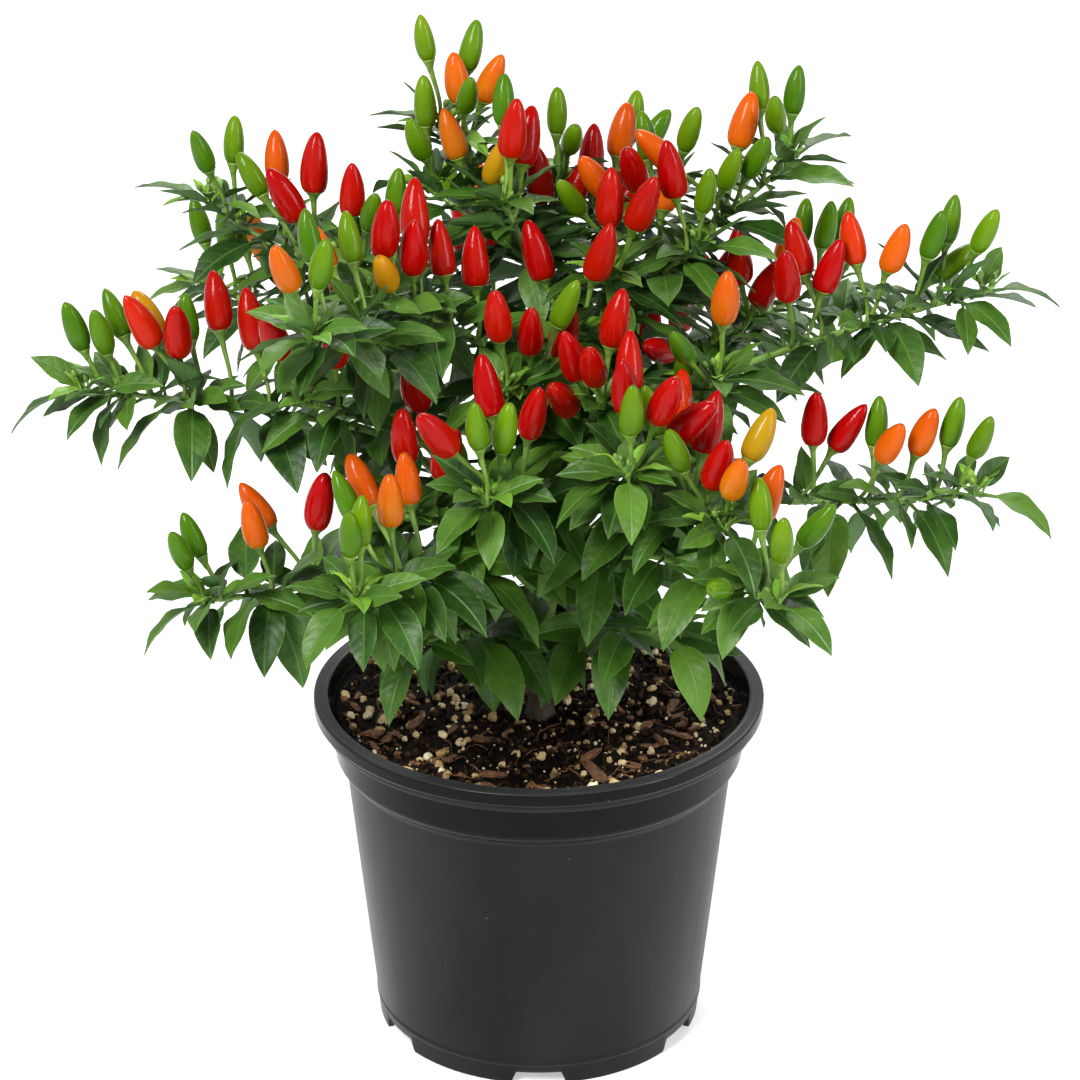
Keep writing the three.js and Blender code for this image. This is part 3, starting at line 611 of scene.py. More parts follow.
def make_bark():
    """Chips are long flat bars with square ends, whose section is a rounded square that narrows forward. The
    grain mark is each point's place on the unturned chip, moved by a step of its own for each chip."""
    chance = np.random.default_rng(23)
    x, y, long_length, turn = np.transpose(LONG_CHIPS).astype(float)
    few = len(LONG_CHIPS)
    count = BARK_CHIPS + few
    places = scattered(count, chance, lift=0.6)
    places[:few] = np.stack([x, y, soil_height(x, y) + 1.2], -1)
    length = 1.4 + 4.6 * chance.random(count) ** 2
    length[:few] = long_length / 2
    width = chance.uniform(*CHIP_WIDTHS, count) + 0.1 * length
    radii = np.stack([length, width, chance.uniform(*CHIP_THICKNESSES, count)], -1)
    along = np.linspace(-1, 1, CHIP_ROWS)[:, None]
    around = turns_of(CHIP_COLUMNS)
    taper = (1 - along**8 * 0.7) * (1 - 0.25 * along)
    square = taper / np.maximum(np.abs(np.cos(around)), np.abs(np.sin(around))) ** 0.6
    bar = np.stack([along + 0 * around, square * np.cos(around), square * np.sin(around)], -1)
    push = 1 + 0.13 * chance.uniform(-1, 1, (count, CHIP_ROWS, CHIP_COLUMNS, 1))
    chips = bar * push * radii[:, None, None]
    frames = random_frames(count, chance, most=0.5)
    frames[:few] = frames_of(0 * turn, np.radians(turn))
    marks = {"grain": chips + 40 * chance.random((count, 1, 1, 3))}
    chips = laid(chips, frames, places)
    new_piece("bark_chips", make_bark_finish(), "bark", [], (chips, marks), sharp=CHIP_CREASE)


def arc(corners, share):
    """Points of quadratic curves, given by base, bend and tip, at shares of the way: (curve, point, xyz)."""
    share = np.asarray(share, float)[..., None]
    base, bend, tip = (corners[:, None, corner] for corner in range(3))
    return (1 - share) ** 2 * base + 2 * share * (1 - share) * bend + share**2 * tip


def carried(paths, radii, sides):
    """A round section carried along paths (path, row, xyz). At each row it is square to the path's run, and
    its first axis is the normal of the plane that the path bends in, made square to the run."""
    run = np.gradient(paths, axis=1)
    run /= np.linalg.norm(run, axis=-1, keepdims=True)
    middle = paths.shape[1] // 2
    before, after = paths[:, middle] - paths[:, 0], paths[:, -1] - paths[:, middle]
    normal = np.cross(before, after) + 0.01 * np.cross(before, (0.36, 0.48, 0.8))
    side = normal[:, None] - np.sum(normal[:, None] * run, -1, keepdims=True) * run
    side /= np.linalg.norm(side, axis=-1, keepdims=True)
    front = np.cross(run, side)
    around = turns_of(sides)[:, None]
    ring = side[:, :, None] * np.cos(around) + front[:, :, None] * np.sin(around)
    return paths[:, :, None] + radii[:, :, None, None] * ring


def make_roots():
    """Thin dead roots: arcs that lie on the soil and arch a little over it."""
    chance = np.random.default_rng(31)
    base = scattered(DEAD_ROOTS, chance, lift=0)
    heading = chance.uniform(0, 2 * np.pi, DEAD_ROOTS)
    length = chance.uniform(*ROOT_LENGTHS, DEAD_ROOTS)
    run = np.stack([np.cos(heading), np.sin(heading), 0 * heading], -1) * length[:, None]
    tip = base + run
    tip *= np.minimum(1, (SOIL_RADIUS - 3) / np.hypot(tip[:, 0], tip[:, 1]))[:, None]
    aside = run[:, [1, 0, 2]] * (1, -1, 1)
    bend = (base + tip) / 2 + chance.uniform(-0.35, 0.35, (DEAD_ROOTS, 1)) * aside
    share = np.linspace(0, 1, 12)
    paths = arc(np.stack([base, bend, tip], axis=1), share)
    paths[..., 2] = soil_height(paths[..., 0], paths[..., 1]) + 0.3 + np.sin(np.pi * share)
    radii = chance.uniform(*ROOT_RADII, (DEAD_ROOTS, 1)) * (1 - 0.5 * share)
    roots = carried(paths, radii, sides=5)
    marks = {"grain": roots + 40 * chance.random((DEAD_ROOTS, 1, 1, 3))}
    new_piece("dead_roots", bpy.data.materials["bark"], "bark", [], (roots, marks))


make_bark()
make_roots()


# Woody stem
# One trunk that forks again and again. Each limb ends where a leafy spray starts. It is corky and brown at
# the foot and turns green and smooth towards the sprays.
TRUNK_DEPTH = 20
TRUNK_RADIUS = 5
BRANCHING = 0.55
LIMB_PULL = 0.45
SHOOT_FOOT_RADIUS = 1.4
ROOT_FLARE = 1.6
LIMB_SIDES = 12
GREEN_FROM = 140
GREEN_BLEND = 100

# Forks: what each grows from, where it lies, and its radius
FORKS = {
    "crown": ("root", (1, 0, 150), 4.4),
    "west": ("crown", (-20, -6, 188), 3),
    "east": ("crown", (24, -6, 190), 3),
    "south": ("crown", (4, -22, 184), 2.8),
    "north": ("crown", (-2, 26, 190), 3),
    "middle": ("crown", (2, 4, 218), 2.8),
    "west_high": ("west", (-34, 2, 250), 2.3),
    "east_high": ("east", (38, 2, 250), 2.3),
    "top": ("middle", (0, 12, 272), 2.3),
    "south_left": ("south", (-10, -36, 206), 2.2),
    "south_right": ("south", (24, -40, 208), 2.2),
    "north_left": ("north", (-24, 48, 226), 2.2),
    "north_right": ("north", (24, 48, 226), 2.2),
}

# Sprays: the fork that each grows from, and the base, bend and tip of its shoot
SPRAYS = {
    "left_low": ("west", (-50, -40, 203), (-92, -70, 209), (-119, -80, 210)),
    "front_left": ("south_left", (-14, -50, 215), (-44, -92, 226), (-63, -125, 231)),
    "front_left_inner": ("south_left", (-21, -45, 226), (-36, -68, 233), (-46, -80, 243)),
    "left_mid": ("west", (-68, -25, 254), (-126, -30, 268), (-163, -35, 271)),
    "left_front": ("west_high", (-45, -35, 285), (-62, -62, 305), (-78, -92, 313)),
    "left_inner": ("west", (-32, -30, 243), (-53, -40, 262), (-84, -50, 273)),
    "left_high": ("west_high", (-71, 15, 294), (-107, 32, 306), (-122, 40, 317)),
    "high_left": ("west_high", (-40, 10, 289), (-60, 15, 298), (-72, 20, 301)),
    "high_left_front": ("west_high", (-19, -20, 283), (-41, -32, 300), (-59, -45, 309)),
    "top_left": ("top", (-5, 15, 302), (-30, 26, 320), (-41, 32, 324)),
    "top": ("top", (-9, 25, 306), (-24, 35, 330), (-36, 44, 345)),
    "top_right": ("top", (-3, 8, 300), (-7, 8, 318), (-13, 8, 327)),
    "top_back": ("top", (2, 25, 291), (2, 40, 312), (8, 48, 322)),
    "centre_high": ("middle", (3, 0, 262), (5, -12, 280), (14, -16, 287)),
    "right_high": ("east_high", (48, 15, 303), (75, 32, 318), (95, 40, 335)),
    "high_right_inner": ("top", (20, 2, 280), (28, 0, 298), (24, -6, 305)),
    "high_right_back": ("east_high", (24, 18, 288), (34, 26, 306), (47, 34, 318)),
    "high_right": ("east_high", (34, 8, 288), (46, 3, 306), (60, 2, 312)),
    "right_mid": ("east", (83, -15, 277), (129, -8, 291), (163, 0, 296)),
    "right_back": ("east_high", (55, 10, 262), (68, 15, 270), (80, 22, 276)),
    "right_inner": ("east", (40, -32, 255), (54, -44, 272), (64, -50, 282)),
    "right_low": ("east", (83, -35, 229), (124, -40, 230), (158, -45, 236)),
    "front_right": ("south_right", (46, -70, 222), (70, -115, 234), (81, -130, 232)),
    "front_right_inner": ("south_right", (34, -50, 228), (48, -80, 250), (64, -110, 250)),
    "front_mid_right": ("south_right", (25, -50, 232), (34, -75, 262), (30, -104, 268)),
    "front_mid": ("south_left", (0, -40, 222), (-8, -72, 256), (-18, -100, 256)),
    "centre_left": ("middle", (10, -15, 245), (2, -35, 274), (-14, -52, 278)),
    "centre_right": ("middle", (15, -28, 240), (18, -48, 268), (22, -58, 276)),
    "back_left": ("north_left", (-48, 46, 244), (-92, 66, 262), (-128, 84, 266)),
    "back_mid": ("north_left", (-14, 62, 246), (-26, 94, 268), (-34, 124, 272)),
    "back_right": ("north_right", (44, 52, 240), (82, 78, 258), (116, 98, 262)),
    "back_low_left": ("north", (-38, 60, 204), (-60, 88, 216), (-78, 116, 220)),
    "back_low_right": ("north", (30, 64, 206), (46, 94, 220), (62, 122, 224)),
    "back_high": ("top", (8, 38, 284), (20, 68, 298), (34, 94, 304)),
    "low_left": ("crown", (-7, -12, 164), (-26, -34, 178), (-44, -52, 180)),
    "low_right": ("crown", (9, -12, 164), (30, -34, 180), (48, -50, 182)),
    "low_back": ("crown", (12, 14, 162), (24, 36, 174), (38, 60, 178)),
}


def limb(start, end, arrival):
    """A limb's base, bend and tip. It arrives in the given direction, because its bend lies straight back
    from its end, by a share of its span."""
    start, end = np.array(start, float), np.array(end, float)
    pull = LIMB_PULL * np.linalg.norm(end - start)
    return np.array([start, end - arrival / np.linalg.norm(arrival) * pull, end])


def make_wood_finish():
    """Corky brown at the foot, cracked along its length, then olive and green further up."""
    material, tree, shader = new_finish("stem_wood", Roughness=0.62)
    cracks = noise_of(tree, 900, 4, (1, 1, 0.16))
    rise = maths(tree, "MULTIPLY_ADD", noise_of(tree, 120, 3), 0.05, parts_of(tree)[2])
    grown = maths(tree, "DIVIDE", maths(tree, "SUBTRACT", rise, GREEN_FROM / 1000), GREEN_BLEND / 1000)
    colour = ramp_of(
        tree,
        maths(tree, "MULTIPLY_ADD", cracks, 0.3, grown),
        (0.1, 0.016, 0.01, 0.005),
        (0.4, 0.055, 0.036, 0.017),
        (0.62, 0.09, 0.11, 0.03),
        (0.9, 0.11, 0.23, 0.035),
    )
    set_sockets(shader, Base_Color=colour, Normal=bumped(tree, cracks, 0.0007))
    return material


def make_woody_stem():
    """Limbs from fork to fork and from fork to shoot. A limb tapers evenly, is swollen where it starts and a
    little where it ends, and the trunk's foot flares where it enters the soil."""
    corners, ends = [], []
    for parent, place, radius in FORKS.values():
        if parent == "root":
            start, thick = (0, 0, SOIL_LEVEL - TRUNK_DEPTH), TRUNK_RADIUS
        else:
            start, thick = FORKS[parent][1], FORKS[parent][2] * BRANCHING
        run = np.subtract(place, start)
        corners.append(limb(start, place, run + (0, 0, 0.5 * np.linalg.norm(run))))
        ends.append((thick, radius))
    for fork, base, bend, _ in SPRAYS.values():
        corners.append(limb(FORKS[fork][1], base, np.subtract(bend, base)))
        ends.append((FORKS[fork][2] * BRANCHING, SHOOT_FOOT_RADIUS))
    corners, ends = np.array(corners), np.array(ends)
    share = np.linspace(0, 1, 26)
    paths = arc(corners, share)
    swelling = 1 + 0.3 * np.exp(-((share / 0.1) ** 2)) + 0.12 * np.exp(-(((1 - share) / 0.05) ** 2))
    radii = (ends[:, :1] * (1 - share) + ends[:, 1:] * share) * swelling
    radii[0] += ROOT_FLARE * np.exp(-(((paths[0, :, 2] - SOIL_LEVEL) / 4) ** 2))
    new_piece("woody_stem", make_wood_finish(), "stem", ["trunk"], (carried(paths, radii, LIMB_SIDES), {}))
    return corners


LIMBS = dict(zip([*FORKS, *SPRAYS], make_woody_stem()))


# Shoots
# Each spray has one smooth green shoot, a little swollen wherever a leaf stands. It bears a fruit on a stalk
# of its own at many of these nodes, and ends in a tuft of young leaves and buds.
SHOOT_TIP_RADIUS = 0.75
LEAF_SPACING = 13
FIRST_LEAF_BACK = 1.5
SHOOT_ROWS = 44
SHOOT_SIDES = 9
NODE_HEIGHT = 0.3
NODE_REACH = 1.5

# The curve of each shoot, and how long it is up to each of many even steps of its share
MEASURES = np.linspace(0, 1, 201)
FORMED = {}
for spray, (_, *stem) in SPRAYS.items():
    stem = np.array([stem], float)
    steps = np.linalg.norm(np.diff(arc(stem, MEASURES)[0], axis=0), axis=1)
    FORMED[spray] = (stem, np.r_[0, np.cumsum(steps)])


def shoot_length(name):
    """A shoot's length, measured along its curve."""
    return FORMED[name][1][-1]


def on_shoot(name, back):
    """The point of a shoot this far back from its tip, and the way the shoot runs there."""
    corners, lengths = FORMED[name]
    share = np.interp(lengths[-1] - np.atleast_1d(back), lengths, MEASURES)
    base, bend, tip = corners[0]
    run = (1 - share)[:, None] * (bend - base) + share[:, None] * (tip - bend)
    return arc(corners, share)[0], run / np.linalg.norm(run, axis=1, keepdims=True)


def leaf_count(name):
    """The number of main leaves: one less than the shoot's length gives at even steps, but at least four."""
    return max(4, math.floor(shoot_length(name) / LEAF_SPACING + 0.5) - 1)


def leaf_spacing(name):
    """The step between main leaves, closer where the shoot is too short for all of them."""
    return min(LEAF_SPACING, (shoot_length(name) - 5) / (leaf_count(name) - 0.5))


def shoots_of(names):
    """Round shoots that taper evenly to the tip, with a low swelling at each leaf node."""
    back = np.array([shoot_length(name) * np.linspace(1, 0, SHOOT_ROWS) for name in names])
    paths = np.array([on_shoot(name, row)[0] for name, row in zip(names, back)])
    spacing = np.array([leaf_spacing(name) for name in names])[:, None]
    off_node = ((back - FIRST_LEAF_BACK) / spacing + 0.5) % 1 - 0.5
    taper = SHOOT_TIP_RADIUS + (SHOOT_FOOT_RADIUS - SHOOT_TIP_RADIUS) * back / back[:, :1]
    nodes = NODE_HEIGHT * np.exp(-((off_node * spacing / NODE_REACH) ** 2))
    return carried(paths, taper + nodes, SHOOT_SIDES)


def make_shoot_finish():
    """Smooth green with faint streaks along it and paler patches."""
    material, tree, shader = new_finish("green_stem", Roughness=0.42)
    patches = noise_of(tree, 140, 3)
    set_sockets(
        shader,
        Base_Color=ramp_of(tree, patches, (0.3, 0.07, 0.155, 0.018), (0.7, 0.165, 0.275, 0.032)),
        Normal=bumped(tree, noise_of(tree, 900, 3, (1, 1, 0.3)), 0.0002),
    )
    return material


# Leaves
# Pointed oval blades on short stalks, folded a little along a pale midrib, with curved side veins. The low
# and old ones hang, the young ones at the tips stand up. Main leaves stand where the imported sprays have
# them, and shorter ones between them, on the limbs and at the tips fill the crown.
LEAF_LENGTH = 31
LEAF_GROWTH = 2.4
LEAF_LONGEST = 43
LONGER_LEAVES = {"low_left": 6, "low_right": 6, "low_back": 6}
PETIOLE_SHARE = 0.2
BLADE_WIDTH = 0.46
BLADE_BASE = 0.68
BLADE_POINT = 1.06
LEAF_FOLD = math.radians(14)
LEAF_THICKNESS = 0.17
MARGIN_WAVES = 2.6
WAVE_HEIGHT = 0.1
RIB_WIDTH = 0.5
VEIN_SPACING = 4.4
VEIN_SLANT = 0.7
VEIN_CURVE = 0.06
HANG_TOP = 320
HANG_DEPTH = 120
LEAF_CREASE = 60
LEAF_TURNS = np.array([0, 20, -20, 40, -40, 65, -65, 95, -95])
LEAF_TILTS = np.array([0, -25, 22])

# Rows of a leaf, as shares of its length, and columns of its skin, as shares of its half width
STALK_ROWS = [0, 0.08, 0.16, 0.2]
BLADE_ROWS = [0.23, 0.28, 0.35, 0.43, 0.51, 0.59, 0.67, 0.75, 0.83, 0.9, 0.96, 1]
LEAF_ROWS = np.array(STALK_ROWS + BLADE_ROWS)
LEAF_TOP = [1, 0.72, 0.36, 0, -0.36, -0.72, -1]
LEAF_UNDER = [-0.6, 0, 0.6]


def draw(piece, number):
    """A fixed draw between -1 and 1 for a piece's number and its draw's number: the scaled fraction of a
    large sine."""
    value = np.sin(piece * 127.1 + number * 311.7) * 43758.5453
    return 2 * (value - np.floor(value)) - 1


def each_of(outer, inner):
    """All pairs of the values of two lists, with the inner ones changing faster, as two arrays."""
    return (grid.ravel() for grid in np.meshgrid(outer, inner, indexing="ij"))


def leaf_candidates(name, number, index, scale=1.0, swing=0, lift=0, nod=1.0):
    """Where a leaf may stand: leaves alternate at even steps back from the tip, longer and lower further
    back, and each may turn and tilt out of the way of its neighbours. Swing turns it further from the shoot
    and lift raises it, in degrees, and nod is a share of the usual droop."""
    back = FIRST_LEAF_BACK + leaf_spacing(name) * index
    root, run = on_shoot(name, back)
    side = 1 if math.floor(index + 0.5 + number) % 2 == 0 else -1
    aside = 12 if index == 0 else min(38 + 13 * index, 105)
    low = min(max((HANG_TOP - root[0, 2]) / HANG_DEPTH, 0), 1)
    chance = draw(number + 40, 7 * index + np.arange(6))
    length = min(LEAF_LENGTH + LONGER_LEAVES.get(name, 0) + LEAF_GROWTH * index, LEAF_LONGEST)
    heading = math.atan2(run[0, 1], run[0, 0]) + math.radians(side * (aside + swing) + 14 * chance[2])
    tilts, turns = each_of(LEAF_TILTS, LEAF_TURNS)
    return {
        "root": np.repeat(root, len(turns), axis=0),
        "heading": heading + np.radians(side * turns),
        "pitch": np.radians(14 - 16 * low + 9 * chance[3] + lift + tilts),
        "droop": nod * np.radians(38 + 34 * low + 12 * chance[4]) + 0 * turns,
        "roll": np.radians(18 * chance[5]) + 0 * turns,
        "length": (length + 2.5 * chance[1]) * scale + 0 * turns,
        "youth": np.full(len(turns), 0.06 * max(0.0, 1 - index)),
    }


def midribs(leaves, share):
    """Points of the midribs: arcs that start at the pitch and nod by the droop over the leaf's length."""
    start, droop, length = (leaves[key][:, None] for key in ("pitch", "droop", "length"))
    end = start - droop * share
    out = length * (np.sin(start) - np.sin(end)) / droop
    rise = length * (np.cos(end) - np.cos(start)) / droop
    heading = leaves["heading"][:, None]
    return leaves["root"][:, None] + np.stack([out * np.cos(heading), out * np.sin(heading), rise], -1)


def way(heading, pitch):
    """The unit vector that heads this way round from +X and rises by the pitch."""
    return np.stack([np.cos(heading) * np.cos(pitch), np.sin(heading) * np.cos(pitch), np.sin(pitch)], -1)


def leaf_axes(leaves, share):
    """Along each midrib, the way to the leaf's left and the way up from its face, turned by its roll."""
    heading, roll = leaves["heading"][:, None], leaves["roll"][:, None, None]
    pitch = leaves["pitch"][:, None] - leaves["droop"][:, None] * share
    ahead = way(heading, pitch)
    level = np.stack(np.broadcast_arrays(-np.sin(heading), np.cos(heading), 0 * pitch), -1)
    left = level * np.cos(roll) + np.cross(ahead, level) * np.sin(roll)
    return left, np.cross(ahead, left)


def blade_shape(share):
    """Half width of the blade at a share of the leaf's length, from 0 to 1: none along the stalk, then a
    power of the way grown times a power of the way left, so that it widens soon and ends in a long point."""
    grown = np.clip((share - PETIOLE_SHARE) / (1 - PETIOLE_SHARE), 0, 1)
    widest = BLADE_BASE / (BLADE_BASE + BLADE_POINT)
    return (grown / widest) ** BLADE_BASE * ((1 - grown) / (1 - widest)) ** BLADE_POINT


def leaf_skins(leaves, chance):
    """Thin closed skins: a round stalk that widens into a blade. The halves rise from the midrib by the fold
    and level off outwards, the margin is waved, and a rib stands out underneath."""
    count = len(leaves["length"])
    columns = np.array(LEAF_TOP + LEAF_UNDER)
    under = np.repeat([0.0, 1.0], [len(LEAF_TOP), len(LEAF_UNDER)])
    share = LEAF_ROWS[None, :, None]
    length = leaves["length"][:, None, None]
    size = length / LEAF_LONGEST
    stalk = (0.72 * np.sqrt(1 - 0.93 * share) + 0.5 * np.exp(-((share / 0.05) ** 2))) * (0.45 + 0.55 * size)
    blade = 0.5 * BLADE_WIDTH * (1 - PETIOLE_SHARE) * length * blade_shape(share)
    half = np.sqrt(stalk**2 * (1 - share**4) + blade**2) + 0.02
    off = np.abs(columns)
    phase = chance.uniform(0, 2 * np.pi, (count, 1, 2))
    wave_phase = np.where(columns > 0, phase[..., :1], phase[..., 1:])
    wave = blade * WAVE_HEIGHT * off**2 * np.sin(2 * np.pi * MARGIN_WAVES * share + wave_phase)
    lift = blade * np.sin(LEAF_FOLD) * (1.3 * off - 0.4 * off**2) + wave
    flat = np.clip(blade / (2.5 * stalk), 0, 1)
    thick = np.sqrt(np.clip(1 - off**2, 0, 1)) * (0.9 * stalk * (1 - flat) + LEAF_THICKNESS * flat)
    rib = np.exp(-((off * half / RIB_WIDTH) ** 2)) * stalk
    skin = lift + np.where(under > 0, -thick - 0.75 * rib, thick - 0.25 * flat * rib)
    left, up = leaf_axes(leaves, LEAF_ROWS)
    grid = midribs(leaves, LEAF_ROWS)[:, :, None]
    grid = grid + left[:, :, None] * (half * columns * np.cos(LEAF_FOLD))[..., None]
    grid = grid + up[:, :, None] * skin[..., None]
    place = np.stack(np.broadcast_arrays(length * share, half * columns, under), -1)
    youth, own = leaves["youth"][:, None, None], chance.random((count, 1, 1))
    kind = np.stack(np.broadcast_arrays(columns + 0 * half, youth, own), -1)
    return grid, {"blade": place, "leaf": kind}


def make_leaf_finish():
    """Satin green. A side vein is where the way along the leaf, less what the vein curves forward on its way
    out, is a whole number of steps. Veins and midrib are paler and a little sunk, the margin is paler too,
    the underside is paler and duller, and young leaves are yellow green."""
    material, tree, shader = new_finish("leaf", IOR=1.32)
    along, aside, under = parts_of(tree, "blade")
    edge, youth, own = parts_of(tree, "leaf")
    off, outward = maths(tree, "ABSOLUTE", aside), maths(tree, "ABSOLUTE", edge)
    curve = maths(tree, "MULTIPLY_ADD", maths(tree, "MULTIPLY", off, off), -VEIN_CURVE, along)
    start = maths(tree, "MULTIPLY_ADD", off, -VEIN_SLANT, curve)
    steps = maths(tree, "DIVIDE", start, VEIN_SPACING)
    turn = maths(tree, "MULTIPLY_ADD", maths(tree, "GREATER_THAN", aside, 0), 0.5, steps)
    near = maths(tree, "PINGPONG", turn, 0.5)
    fading = maths(tree, "SUBTRACT", 0.32, maths(tree, "MULTIPLY", outward, 0.28))
    vein = maths(tree, "MULTIPLY", rising(tree, near, 0.42, 0.08), fading)
    rib = maths(tree, "SUBTRACT", 1.1, maths(tree, "MULTIPLY", off, 1.9), clamp=True)
    lines = maths(tree, "MAXIMUM", rib, vein)
    patches = noise_of(tree, 130, 4)
    shade = maths(tree, "MULTIPLY_ADD", own, 0.5, maths(tree, "MULTIPLY", patches, 0.6))
    dark, light = (0.2, 0.005, 0.021, 0.003), (0.82, 0.052, 0.122, 0.01)
    grown = ramp_of(tree, shade, dark, (0.5, 0.02, 0.062, 0.005), light)
    fresh = ramp_of(tree, shade, (0.2, 0.11, 0.29, 0.02), (0.8, 0.23, 0.42, 0.035))
    colour = blend_of(tree, youth, grown, fresh)
    colour = blend_of(tree, lines, colour, (0.085, 0.19, 0.032), most=0.55)
    colour = blend_of(tree, rising(tree, outward, 0.9, 0.14), colour, (0.17, 0.3, 0.07), most=0.35)
    colour = blend_of(tree, under, colour, (0.095, 0.2, 0.06), most=0.7)
    dull = maths(tree, "MULTIPLY_ADD", under, 0.2, 0.34)
    fine = maths(tree, "MULTIPLY", noise_of(tree, 1500, 2), 0.35)
    quilt = maths(tree, "MULTIPLY", near, 0.6)
    relief = maths(tree, "SUBTRACT", maths(tree, "SUBTRACT", fine, lines), quilt)
    set_sockets(
        shader,
        Base_Color=colour,
        Roughness=maths(tree, "MULTIPLY_ADD", patches, 0.16, dull),
        Normal=bumped(tree, relief, 0.00022),
    )
    return material


# Fruit
# Small upright cones with a rounded shoulder and a blunt tip, smooth and glossy. They ripen from green over
# yellow and orange to scarlet and red. Each sits in a small flush calyx at the flared end of its stalk.
FRUIT_GIRTH = {"G": 0.216, "Y": 0.24, "O": 0.24, "S": 0.232, "R": 0.232}
FRUIT_LENGTH = {"G": 18.5, "Y": 18.5, "O": 20, "S": 21, "R": 21.5}
RIPENESS = {"G": 0.04, "Y": 0.36, "O": 0.55, "S": 0.76, "R": 0.97}
FRUIT_TURNS = np.array([0, 8, -8, 16, -16, 24, -24, 32, -32, 40, -40])
FRUIT_SIDES = 16
LOWER_ROWS = [0, 0.025, 0.055, 0.09, 0.13, 0.18, 0.25, 0.34, 0.44]
UPPER_ROWS = [0.54, 0.64, 0.73, 0.81, 0.88, 0.935, 0.97, 0.99, 1]
FRUIT_ROWS = np.array(LOWER_ROWS + UPPER_ROWS)
CALYX_TEETH = 5
CALYX_REACH = 0.7
WIDEST_AT = 0.36
BLUNTNESS = 0.53
LOBES = 0.022
BOW = 0.07
STALK_BOW = 0.09
STALK_RADIUS = 0.76
STALK_FOOT = 0.45
STALK_FLARE = 0.45
STALK_LIP = 0.3

